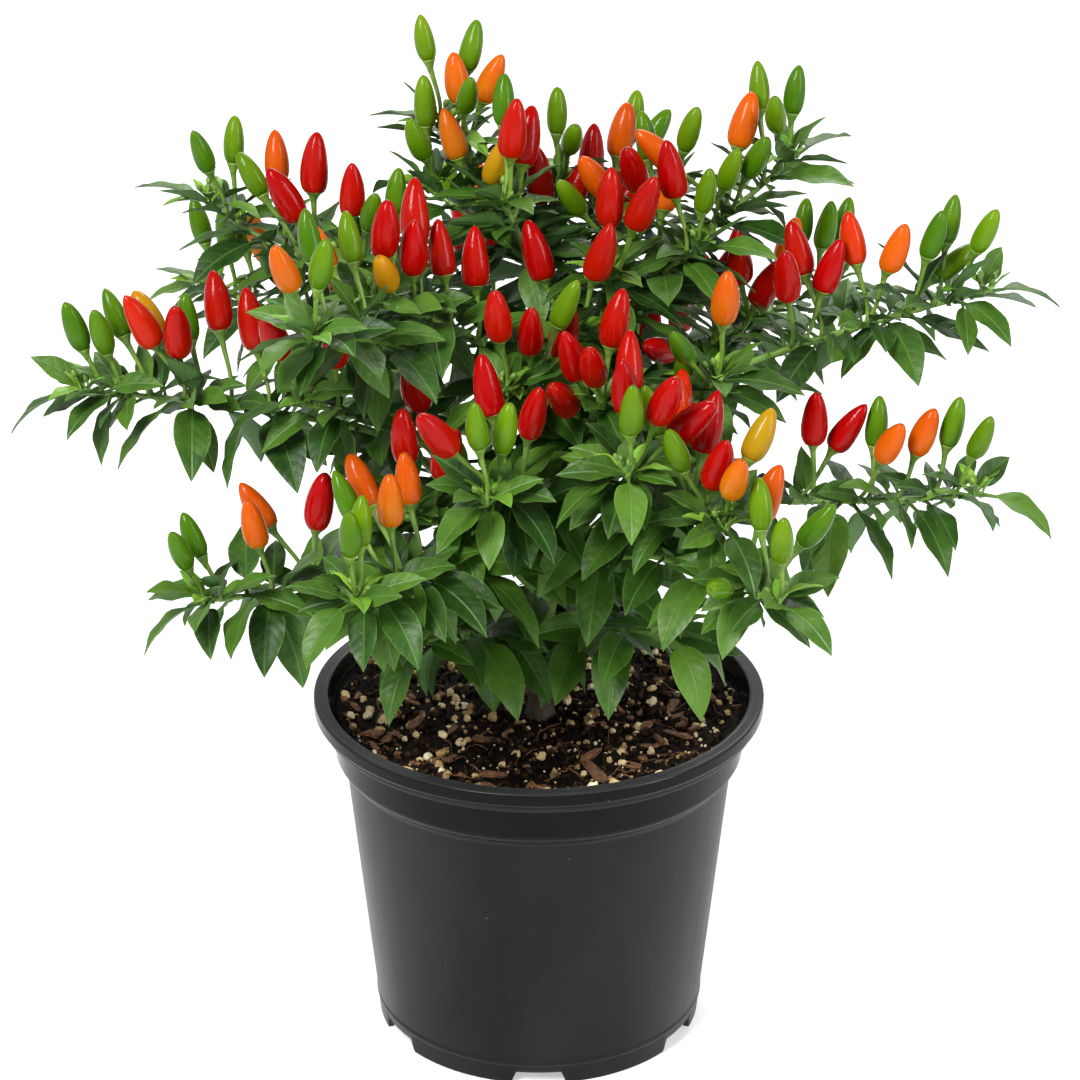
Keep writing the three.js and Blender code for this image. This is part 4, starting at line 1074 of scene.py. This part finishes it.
# The fruit of each spray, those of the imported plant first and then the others. Each has its colour (Green,
# Yellow, Orange, Scarlet, Red), then how far it stands back from the shoot's tip, how long its stalk is,
# and how many degrees it leans to +X and to +Y.
FRUIT = {
    "left_low": ("G 2 17 -17 -18, G 8 17 -21 4, O 27 20 -10 -8, O 43 26 -33 7", "R 41 24 -6 -12"),
    "front_left": (
        "G 0 19 0 -10, G 20 26 -23 14, O 32 28 -24 18, O 25 24 0 -5, O 42 28 -6 0",
        "G 4 19 3 6",
    ),
    "front_left_inner": ("R 4 22 -4 -4, R 12 21 16 -16", ""),
    "left_mid": (
        "G 8 18 -17 -5, G 25 23 -22 12, Y 41 25 -36 6, R 37 22 0 -20, R 54 27 -7 14, R 68 23 -18 7",
        "G 15 18 -12 -12, S 39 26 -17 -6, G 43 23 2 8",
    ),
    "left_front": ("G 1 20 11 -8, O 5 23 -17 -18, O 42 28 -28 12, G 40 27 -9 14", "G 12 26 -8 10"),
    "left_inner": ("R 14 24 2 -24", "R 0 26 -5 -22, R 57 26 -4 -24"),
    "left_high": (
        "G 10 20 -17 -12, G 12 20 3 10, G 43 27 -30 10, O 35 25 -3 12, R 47 27 4 6",
        "R 57 25 -20 2",
    ),
    "high_left": ("R 4 19 2 -5, G 7 19 13 -24, G 20 23 5 10", ""),
    "high_left_front": (
        "R 4 19 -2 -13, R 19 17 -13 -22, Y 13 15 20 -20, R 37 19 -6 9, R 50 20 -1 8",
        "R 22 26 -1 16",
    ),
    "top_left": ("G 7 20 -18 -21, G 2 24 -3 3, O 24 25 -17 8", "Y 23 18 -7 -36"),
    "top": ("G 0 23 -10 7, G 7 25 13 11, O 19 24 -7 1, O 13 21 23 0", "G 11 21 -6 -29"),
    "top_right": ("G 0 27 1 12, R 8 20 -14 5, R 2 20 14 -2", ""),
    "top_back": ("G 5 21 1 7, R 30 21 -4 -4", "R 36 23 -18 -8, G 1 22 11 -40"),
    "centre_high": ("R 9 24 -16 8, R 1 22 16 -6", ""),
    "right_high": (
        "G 7 19 7 5, G 18 27 -3 14, O 40 28 15 12, O 36 27 -13 14",
        "G 46 22 17 -20, G 9 22 -7 -31, G 37 22 -10 -38",
    ),
    "high_right_inner": ("R 1 18 2 1, R 6 25 12 -16", ""),
    "high_right_back": ("G 0 22 -1 -18, R 10 18 -15 -26, O 18 24 -14 -10", "G 6 20 -9 10, G 29 30 -15 -13"),
    "high_right": ("G 5 17 9 -9, O 27 28 11 14, R 8 25 -2 -4", ""),
    "right_mid": (
        "G 16 22 22 -8, G 22 23 10 9, G 32 23 15 -6, O 48 23 18 -6, S 47 23 -3 7, R 72 22 18 -1, "
        "R 64 24 -16 9",
        "G 39 22 29 6, R 76 24 -5 -20",
    ),
    "right_back": ("R 5 25 -7 -24", "R 8 16 -1 -32, R 26 24 -9 -20"),
    "right_inner": ("O 3 24 4 -9, G 27 20 8 -27", "G 8 22 -8 -26"),
    "right_low": (
        "G 11 19 19 -12, G 18 20 13 4, O 31 20 18 -7, O 45 22 21 -21, R 67 25 32 -3",
        "G 41 20 5 8, R 62 25 1 -10",
    ),
    "front_right": ("G 1 19 1 -14, G 8 23 -4 12, G 12 24 27 -10, O 25 24 10 0", "G 19 21 -3 -38"),
    "front_right_inner": (
        "O 6 19 27 -21, R 19 17 13 -23, Y 7 25 9 4, R 29 22 14 11, G 15 23 -20 -14, S 36 28 0 9",
        "S 42 29 14 24, G 27 30 13 21",
    ),
    "front_mid_right": ("G 0 18 2 -12, R 13 24 -4 -8", "R 22 29 0 14, R 16 28 19 -24, R 20 22 18 -30"),
    "front_mid": ("G 0 23 -5 -10, G 8 18 9 -6, R 22 28 -10 8", "R 32 24 12 -10, R 9 30 -16 -18"),
    "centre_left": ("R 4 23 -5 -16, R 17 22 2 -24, R 32 20 12 -6", "G 16 29 14 -10"),
    "centre_right": ("R 10 25 12 4, R 16 24 -14 -24", "R 0 14 -10 -34, R 25 22 -16 -38"),
    "back_left": (
        "G 6 19 -14 8, G 22 20 -8 16, O 38 24 -20 6, R 70 22 -16 8",
        "R 56 22 -6 18, G 13 20 -4 -10, O 46 23 -14 -8",
    ),
    "back_mid": (
        "G 4 18 -6 14, O 20 21 8 10, R 52 23 6 12",
        "R 36 22 -10 16, G 11 19 10 -6, R 44 23 12 -8",
    ),
    "back_right": (
        "G 6 18 14 10, G 20 22 6 16, R 54 23 8 14",
        "O 36 22 18 4, G 13 20 2 -8, R 46 23 -8 4, R 64 22 14 -6",
    ),
    "back_low_left": ("G 6 18 -12 10, O 24 21 -4 14", "R 42 22 -14 12, G 14 19 8 -4, R 32 21 12 -8"),
    "back_low_right": ("G 6 19 8 12, R 24 21 12 10, R 44 22 4 14", "G 13 19 -6 4, O 34 21 -10 -4"),
    "back_high": (
        "G 4 19 8 10, O 20 21 12 12, R 38 22 4 14",
        "R 28 21 -10 0, G 11 20 -8 -8, R 47 22 12 -8",
    ),
}

# Rows of a calyx: the way past the stalk's end, the radius there without and with the fruit's own, as a
# share of it, and how far the teeth reach out
CALYX_ROWS = [
    (-4.5, 0.8, 0, 0),
    (-2.6, 1.15, 0.04, 0),
    (-1.1, 1.4, 0.16, 0),
    (0, 1.05, 0.5, 0),
    (0.6, 0.45, 0.88, 0.15),
    (0.85, -0.15, 1, 0),
]


def entries_of(name, which):
    """The rows of a spray's fruit, as a list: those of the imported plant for 0, and the others for 1."""
    return [entry for entry in FRUIT.get(name, ("", ""))[which].split(", ") if entry]


def fruit_candidates(name, number, entry, nods=(0,)):
    """Where a fruit may stand: as listed, or turned to either side where that isn't free."""
    colour, *values = entry.split()
    back, stalk, lean, nod = map(float, values)
    more_nod, turns = each_of(nods, FRUIT_TURNS)
    across, away = np.radians(lean + turns), np.radians(nod + 0.5 * turns + more_nod)
    count = len(turns)
    return {
        "root": np.repeat(on_shoot(name, back)[0], count, axis=0),
        "along": np.stack([np.sin(across) * np.cos(away), np.sin(away), np.cos(across) * np.cos(away)], -1),
        "stalk": np.full(count, stalk),
        "length": np.full(count, FRUIT_LENGTH[colour] + 1.2 * draw(number, back)),
        "ripeness": np.full(count, RIPENESS[colour]),
        "girth": np.full(count, FRUIT_GIRTH[colour]),
        "widest": np.full(count, WIDEST_AT - 0.06 * RIPENESS[colour] + 0.05 * draw(number + 3, back)),
        "blunt": np.full(count, BLUNTNESS + 0.06 * draw(number + 5, back)),
    }


def fruit_axis(fruit, share):
    """Points along the fruit's axes, at shares of its own length past the stalk's end."""
    far = fruit["stalk"][:, None] + fruit["length"][:, None] * share
    return fruit["root"][:, None] + fruit["along"][:, None] * far[..., None]


def axes_of(fruit):
    """Two axes square to each fruit's own."""
    side = np.cross((0, 1, 0), fruit["along"])
    side /= np.linalg.norm(side, axis=1, keepdims=True)
    return side, np.cross(fruit["along"], side)


def fruit_radius(fruit, share):
    """Radius at shares of the fruit's length: a power of the way from the base times a power of the way to
    the tip, whose product is widest at its own place for each fruit."""
    widest, blunt = fruit["widest"][:, None], fruit["blunt"][:, None]
    swell = blunt * widest / (1 - widest)
    share = np.clip(share, 0.004, 0.998)
    profile = share**swell * (1 - share) ** blunt / (widest**swell * (1 - widest) ** blunt)
    return (fruit["girth"] * fruit["length"])[:, None] * profile


def rings_about(fruit, centres, radii):
    """Rings (fruit, row, column, xyz) square to each fruit's axis, where radii are (fruit, row, column)."""
    side, front = axes_of(fruit)
    around = turns_of(radii.shape[2])[:, None]
    ring = side[:, None, None] * np.cos(around) + front[:, None, None] * np.sin(around)
    return centres[:, :, None] + radii[..., None] * ring


def fruit_skins(fruit, chance):
    """Closed cones: rings of the fruit's radius with three faint lobes, which fade towards the tip, about an
    axis that bows aside in a parabola."""
    count = len(fruit["length"])
    around = turns_of(FRUIT_SIDES)
    turn = chance.uniform(0, 2 * np.pi, (count, 1, 1))
    lobes = 1 + LOBES * np.cos(3 * around + turn) * (1 - FRUIT_ROWS[:, None])
    bow = chance.uniform(-BOW, BOW, (count, 2, 1)) * fruit["length"][:, None, None]
    bow = bow * FRUIT_ROWS * (1 - FRUIT_ROWS)
    side, front = axes_of(fruit)
    centres = fruit_axis(fruit, FRUIT_ROWS)
    centres = centres + side[:, None] * bow[:, 0, :, None] + front[:, None] * bow[:, 1, :, None]
    grid = rings_about(fruit, centres, fruit_radius(fruit, FRUIT_ROWS)[..., None] * lobes)
    ripeness = (fruit["ripeness"] + chance.uniform(-0.05, 0.05, count))[:, None, None]
    own = chance.random((count, 1, 1))
    marks = np.stack(np.broadcast_arrays(ripeness, FRUIT_ROWS[:, None] + 0 * around, own), -1)
    return grid, {"ripe": marks}


def stalk_skins(fruit):
    """Fruit stalks: a round section along a line with a sine bow that dies away towards the fruit. A bell
    curve swells the foot, and two powers of the way up flare the end to the calyx."""
    share = np.linspace(0, 1, 9)
    far = fruit["stalk"][:, None] * share
    paths = fruit["root"][:, None] + fruit["along"][:, None] * far[..., None]
    bow = STALK_BOW * fruit["stalk"][:, None] * np.sin(np.pi * share) * (1 - share)
    paths = paths + axes_of(fruit)[0][:, None] * bow[..., None]
    foot = STALK_FOOT * np.exp(-((share / 0.09) ** 2))
    radii = STALK_RADIUS + foot + STALK_FLARE * share**3 + STALK_LIP * share**12
    return carried(paths, radii + 0 * far, sides=8)


def calyx_skins(fruit):
    """Flush green cups between stalk and fruit: a ring for each of the calyx's rows, which a cosine draws
    out into short teeth at the edge."""
    ahead, radius, share, teeth = (column[:, None] for column in np.transpose(CALYX_ROWS))
    around = turns_of(3 * CALYX_TEETH)
    base = fruit_radius(fruit, CALYX_REACH / fruit["length"][:, None])[..., None]
    spread = radius + share * base + teeth * np.cos(CALYX_TEETH * around)
    far = fruit["stalk"][:, None] + ahead[:, 0]
    centres = fruit["root"][:, None] + fruit["along"][:, None] * far[..., None]
    return rings_about(fruit, centres, spread)


def make_fruit_finish():
    """Glossy skin whose colour follows how ripe the fruit is, a little further along at the tip and in soft
    patches, with a very faint pebbling. The flower has left a small brown scar on the tip."""
    material, tree, shader = new_finish("fruit_skin", IOR=1.24)
    ripeness, share, own = parts_of(tree, "ripe")
    stage = maths(tree, "MULTIPLY_ADD", noise_of(tree, 110, 2), 0.12, ripeness)
    stage = maths(tree, "MULTIPLY_ADD", share, 0.05, maths(tree, "SUBTRACT", stage, 0.08))
    colour = ramp_of(
        tree,
        stage,
        (0, 0.043, 0.125, 0.002),
        (0.12, 0.108, 0.2, 0.002),
        (0.36, 0.38, 0.2, 0.004),
        (0.55, 0.47, 0.08, 0.002),
        (0.74, 0.44, 0.015, 0.001),
        (1, 0.29, 0.0006, 0.0005),
    )
    colour = blend_of(tree, own, colour, (0, 0, 0), most=0.18)
    colour = blend_of(tree, rising(tree, share, 0.985, 0.012), colour, (0.05, 0.028, 0.01), most=0.6)
    dents = maths(tree, "MULTIPLY_ADD", noise_of(tree, 180, 2), 4, noise_of(tree, 1300, 2))
    set_sockets(
        shader,
        Base_Color=colour,
        Roughness=maths(tree, "MULTIPLY_ADD", noise_of(tree, 260, 2), 0.12, 0.1),
        Normal=bumped(tree, dents, 0.00006),
    )
    return material


# Crown
# The sprays of one plant share the light: each fruit and leaf grows where it is clear of the others. What
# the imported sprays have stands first, at its packed place, and the rest fills the room between.
PACKED = {}
for spray in SPRAYS:
    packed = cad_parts["spray_" + spray].data.vertices
    corners = np.empty(3 * len(packed), np.float32)
    packed.foreach_get("co", corners)
    PACKED[spray] = 1000 * corners.reshape(-1, 3)

SAME_PLACE = 0.3
LEAF_PROBES = np.array([0.3, 0.45, 0.6, 0.8, 1.0])
LEAF_ROOM = 1.2
FRUIT_PROBES = np.array([0.1, 0.4, 0.75, 1.0])
FRUIT_ROOM = np.array([0.85, 0.95, 0.6, 0.2])
STEM_ROOM = 1.6
FAR_OFF = (0, 0, 5000, 0)
NEARBY = 8
LEAF_OVERLAP = 0.4
FRUIT_OVERLAP = 1
LIMB_LEAF_STEP = 18
LIMB_LEAF_LENGTH = 36
LIMB_LEAF_TILTS = [0.1, -0.3, 0.45, -0.7]
FOOT_LEAF_LENGTH = 24
FOOT_LEAF_TURN = 1.3
FOOT_LEAF_TILTS = [0.6, 0.95, 0.25]
OUTWARD_ROLL = 0.65
FULLER = {"left_low": 1.3}
YOUNG_LEAVES = 5
BUDS = 4
BUD_LENGTH = 3.1
BUD_STALK = 5
BUD_GIRTH = 0.36
GOLDEN_TURN = 137.5
MORE_NODS = (0, 10, -10, 20, -20, 32, -32)

# Leaves besides the main ones: how far past a main leaf, how long beside it, swing, lift and nod
MORE_LEAVES = [
    (0.5, 0.88, 0, 4, 0.55),
    (0.25, 0.75, -30, 28, 0.45),
    (0.75, 0.8, 45, -18, 0.6),
    (0.1, 0.66, 110, 18, 0.5),
]


def one_of(candidates, index):
    """One candidate of a set, kept as a set."""
    return {key: values[index : index + 1] for key, values in candidates.items()}


def joined(rows):
    """One set of arrays from a list of sets."""
    return {key: np.concatenate([row[key] for row in rows]) for key in rows[0]}


def leaf_probes(leaves):
    """Points on midribs and near both margins, with a radius of their own: (leaf, probe, xyzr)."""
    middle = midribs(leaves, LEAF_PROBES)
    left, _ = leaf_axes(leaves, LEAF_PROBES)
    reach = 0.4 * BLADE_WIDTH * leaves["length"][:, None] * blade_shape(LEAF_PROBES)
    aside = left * reach[..., None]
    points = np.concatenate([middle, middle + aside, middle - aside], axis=1)
    return np.concatenate([points, np.full((*points.shape[:2], 1), LEAF_ROOM)], -1)


def fruit_probes(fruit):
    """Points on the fruit's axes, with its radius there: (fruit, probe, xyzr)."""
    radius = (fruit["girth"] * fruit["length"])[:, None] * FRUIT_ROOM
    return np.concatenate([fruit_axis(fruit, FRUIT_PROBES), radius[..., None]], -1)


def as_packed(candidates, tips, name):
    """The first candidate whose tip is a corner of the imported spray, in a list, or an empty list."""
    gaps = np.linalg.norm(tips[:, None] - PACKED[name], axis=-1).min(axis=1)
    return [one_of(candidates, place) for place in np.flatnonzero(gaps < SAME_PLACE)[:1]]


def clearance(probes, taken):
    """Each candidate's least distance from what is taken near it, less the radii of both."""
    places = probes[..., :3].reshape(-1, 3)
    low, high = places.min(axis=0) - NEARBY, places.max(axis=0) + NEARBY
    near = np.all((taken[:, :3] > low) & (taken[:, :3] < high), axis=1)
    taken = np.concatenate([taken[near], [FAR_OFF]])
    gaps = np.linalg.norm(probes[:, :, None, :3] - taken[:, :3], axis=-1)
    return (gaps - probes[:, :, None, 3] - taken[:, 3]).min(axis=(1, 2))


def most_open(candidates, probes, taken, overlap):
    """The first candidate that is well clear, or else the one that is most so, in a list; an empty list
    where each overlaps what is taken by more than it may."""
    gaps = clearance(probes, taken)
    place = int(np.argmax(np.minimum(gaps, 1)))
    return [one_of(candidates, place)] if gaps[place] > -overlap else []


def turned_out(leaves):
    """The same leaves, rolled so that their faces look away from the plant's middle."""
    outward = leaves["root"][:, :2] / np.linalg.norm(leaves["root"][:, :2], axis=1, keepdims=True)
    across = np.cos(leaves["heading"]) * outward[:, 1] - np.sin(leaves["heading"]) * outward[:, 0]
    return {**leaves, "roll": leaves["roll"] - OUTWARD_ROLL * across}


def leaves_about(root, facing, tilts, length, youth, chance):
    """Where a leaf may stand that can point any way round: nearest to where it faces first."""
    turns = facing + math.radians(75 * chance[1]) + np.radians(np.arange(0, 360, 24))
    tilts, turns = each_of(tilts, turns)
    return turned_out(
        {
            "root": root + 0 * turns[:, None],
            "heading": turns,
            "pitch": tilts + 0.15 * chance[2],
            "droop": 0.6 + 0.25 * chance[3] + 0 * turns,
            "roll": 0.3 * chance[4] + 0 * turns,
            "length": length * (1 + 0.14 * chance[5]) + 0 * turns,
            "youth": youth + 0 * turns,
        }
    )


def foot_leaves(name, number, entry):
    """Candidates for the two short leaves at a fruit stalk's foot, which rise before they nod."""
    back = float(entry.split()[1])
    root, run = on_shoot(name, back + 0.8)
    ahead = math.atan2(run[0, 1], run[0, 0])
    for index, aside in enumerate((FOOT_LEAF_TURN, -FOOT_LEAF_TURN)):
        chance = draw(number + 240 + index, back + np.arange(6))
        yield leaves_about(root, ahead + aside, FOOT_LEAF_TILTS, FOOT_LEAF_LENGTH, 0.08, chance)


def more_leaves(name, number):
    """Candidates for the shorter leaves between the main ones."""
    fuller = FULLER.get(name, 1)
    for past, scale, *habit in MORE_LEAVES:
        for index in range(leaf_count(name)):
            yield turned_out(leaf_candidates(name, number, index + past, scale * fuller, *habit))


def limb_leaves(name, number):
    """Candidates for the leaves on a limb, from its end downwards."""
    path = arc(LIMBS[name][None], np.linspace(0, 1, 60))[0]
    lengths = np.r_[0, np.cumsum(np.linalg.norm(np.diff(path, axis=0), axis=1))]
    bare = max(0.15 * lengths[-1], np.interp(SOIL_LEVEL + 16, path[:, 2], lengths, left=0))
    for index, back in enumerate(np.arange(3, lengths[-1] - bare, LIMB_LEAF_STEP)):
        root = np.array([np.interp(lengths[-1] - back, lengths, path[:, axis]) for axis in range(3)])
        chance = draw(number + 90, 7 * index + np.arange(6))
        outward = math.atan2(root[1], root[0])
        yield leaves_about(root, outward, LIMB_LEAF_TILTS, LIMB_LEAF_LENGTH, 0, chance)


def tip_leaves(name, number):
    """The tuft at a shoot's tip: small steep leaves, shorter and steeper towards the top."""
    index = np.arange(YOUNG_LEAVES)
    root, run = on_shoot(name, 0.6 + 1.1 * index)
    chance = draw(number + 140, index[:, None] * 9 + np.arange(4))
    return {
        "root": root,
        "heading": np.arctan2(run[:, 1], run[:, 0]) + np.radians(GOLDEN_TURN * index + 25 * chance[:, 0]),
        "pitch": np.radians(64 - 9 * index + 8 * chance[:, 1]),
        "droop": np.radians(22 + 9 * index + 8 * chance[:, 2]),
        "roll": 0.2 * chance[:, 3],
        "length": 9.5 + 3.2 * index + 1.5 * chance[:, 2],
        "youth": 1 - 0.14 * index,
    }


def bud_skins(name, number):
    """Flower buds at a shoot's tip, egg-shaped and about 3 mm long, and the short thin stalks under them."""
    tip, _ = on_shoot(name, np.linspace(0.2, 4, BUDS))
    chance = draw(number + 190, np.arange(BUDS)[:, None] * 9 + np.arange(4))
    heading = np.radians(GOLDEN_TURN * np.arange(BUDS) + 60 + 30 * chance[:, 0])
    along = way(heading, np.radians(62 - 12 * chance[:, 1]))
    stalk, length = BUD_STALK + 1.6 * chance[:, 2], BUD_LENGTH + 0.6 * chance[:, 3]
    buds = {"root": tip, "along": along, "stalk": stalk, "length": length}
    share = np.linspace(0, 1, 7)
    radii = BUD_GIRTH * length[:, None] * np.sqrt(np.sin(np.pi * (0.06 + 0.9 * share)))
    eggs = rings_about(buds, fruit_axis(buds, share), radii[..., None] + np.zeros(8))
    share = np.linspace(0, 1.1, 6)
    far = stalk[:, None] * share
    paths = tip[:, None] + along[:, None] * far[..., None]
    return eggs, carried(paths, 0.35 + 0.25 * share + 0 * far, sides=6)


def fill_crown():
    """Fruit and leaves of all sprays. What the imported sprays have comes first. Then come more fruit, the
    leaves at the fruit stalks, the leaves between the main ones, and the leaves on the limbs."""
    fruit, leaves = {name: [] for name in SPRAYS}, {name: [] for name in SPRAYS}
    shoots = np.concatenate([on_shoot(name, np.arange(0, shoot_length(name), 4))[0] for name in SPRAYS])
    limbs = arc(np.array(list(LIMBS.values())), np.linspace(0, 1, 14)).reshape(-1, 3)
    stems = np.concatenate([shoots, limbs])
    taken = np.c_[stems, np.full(len(stems), STEM_ROOM)]
    numbered = list(enumerate(SPRAYS))

    def keep(kept, probes_of, found):
        """Adds what was found to what its spray keeps, and its probes to what is taken."""
        nonlocal taken
        kept += found
        taken = np.concatenate([taken] + [probes_of(row).reshape(-1, 4) for row in found])

    def fill(kept, probes_of, overlap, candidates):
        """Keeps the most open candidate, if it is open enough."""
        keep(kept, probes_of, most_open(candidates, probes_of(candidates), taken, overlap))

    for number, name in numbered:
        for entry in entries_of(name, 0):
            candidates = fruit_candidates(name, number, entry)
            tips = fruit_axis(candidates, np.ones(1))[:, 0]
            keep(fruit[name], fruit_probes, as_packed(candidates, tips, name))
        for index in range(leaf_count(name)):
            candidates = leaf_candidates(name, number, index)
            tips = midribs(candidates, np.ones(1))[:, 0]
            keep(leaves[name], leaf_probes, as_packed(candidates, tips, name))
    for number, name in numbered:
        for entry in entries_of(name, 1):
            candidates = fruit_candidates(name, number, entry, MORE_NODS)
            fill(fruit[name], fruit_probes, FRUIT_OVERLAP, candidates)
    for number, name in numbered:
        for entry in entries_of(name, 0) + entries_of(name, 1):
            for candidates in foot_leaves(name, number, entry):
                fill(leaves[name], leaf_probes, LEAF_OVERLAP, candidates)
    for number, name in numbered:
        for candidates in (*more_leaves(name, number), *limb_leaves(name, number)):
            fill(leaves[name], leaf_probes, LEAF_OVERLAP, candidates)
        leaves[name].append(tip_leaves(name, number))
    for number, fork in enumerate(FORKS, start=len(SPRAYS)):
        bearer = next(name for name, (last, *_) in SPRAYS.items() if fork in (last, FORKS[last][0]))
        for candidates in limb_leaves(fork, number):
            fill(leaves[bearer], leaf_probes, LEAF_OVERLAP, candidates)
    return fruit, leaves


fruit_of, leaves_of = fill_crown()
crown_chance = np.random.default_rng(3)
leaf_finish, fruit_finish, shoot_finish = make_leaf_finish(), make_fruit_finish(), make_shoot_finish()
for bough in dict.fromkeys(fork for fork, *_ in SPRAYS.values()):
    names = [name for name in SPRAYS if SPRAYS[name][0] == bough]
    nodes = ["spray_" + name for name in names]
    leaves = leaf_skins(joined([leaf for name in names for leaf in leaves_of[name]]), crown_chance)
    new_piece("leaves_" + bough, leaf_finish, "foliage", nodes, leaves, sharp=LEAF_CREASE)
    buds, bud_stalks = zip(*(bud_skins(name, list(SPRAYS).index(name)) for name in names))
    skins = [shoots_of(names), np.concatenate(bud_stalks), np.concatenate(buds)]
    fruit = [one for name in names for one in fruit_of[name]]
    if fruit:
        fruit = joined(fruit)
        skins += [stalk_skins(fruit), calyx_skins(fruit)]
        new_piece("fruit_" + bough, fruit_finish, "fruit", nodes, fruit_skins(fruit, crown_chance))
    new_piece("stems_" + bough, shoot_finish, "stem", nodes, *[(skin, {}) for skin in skins])
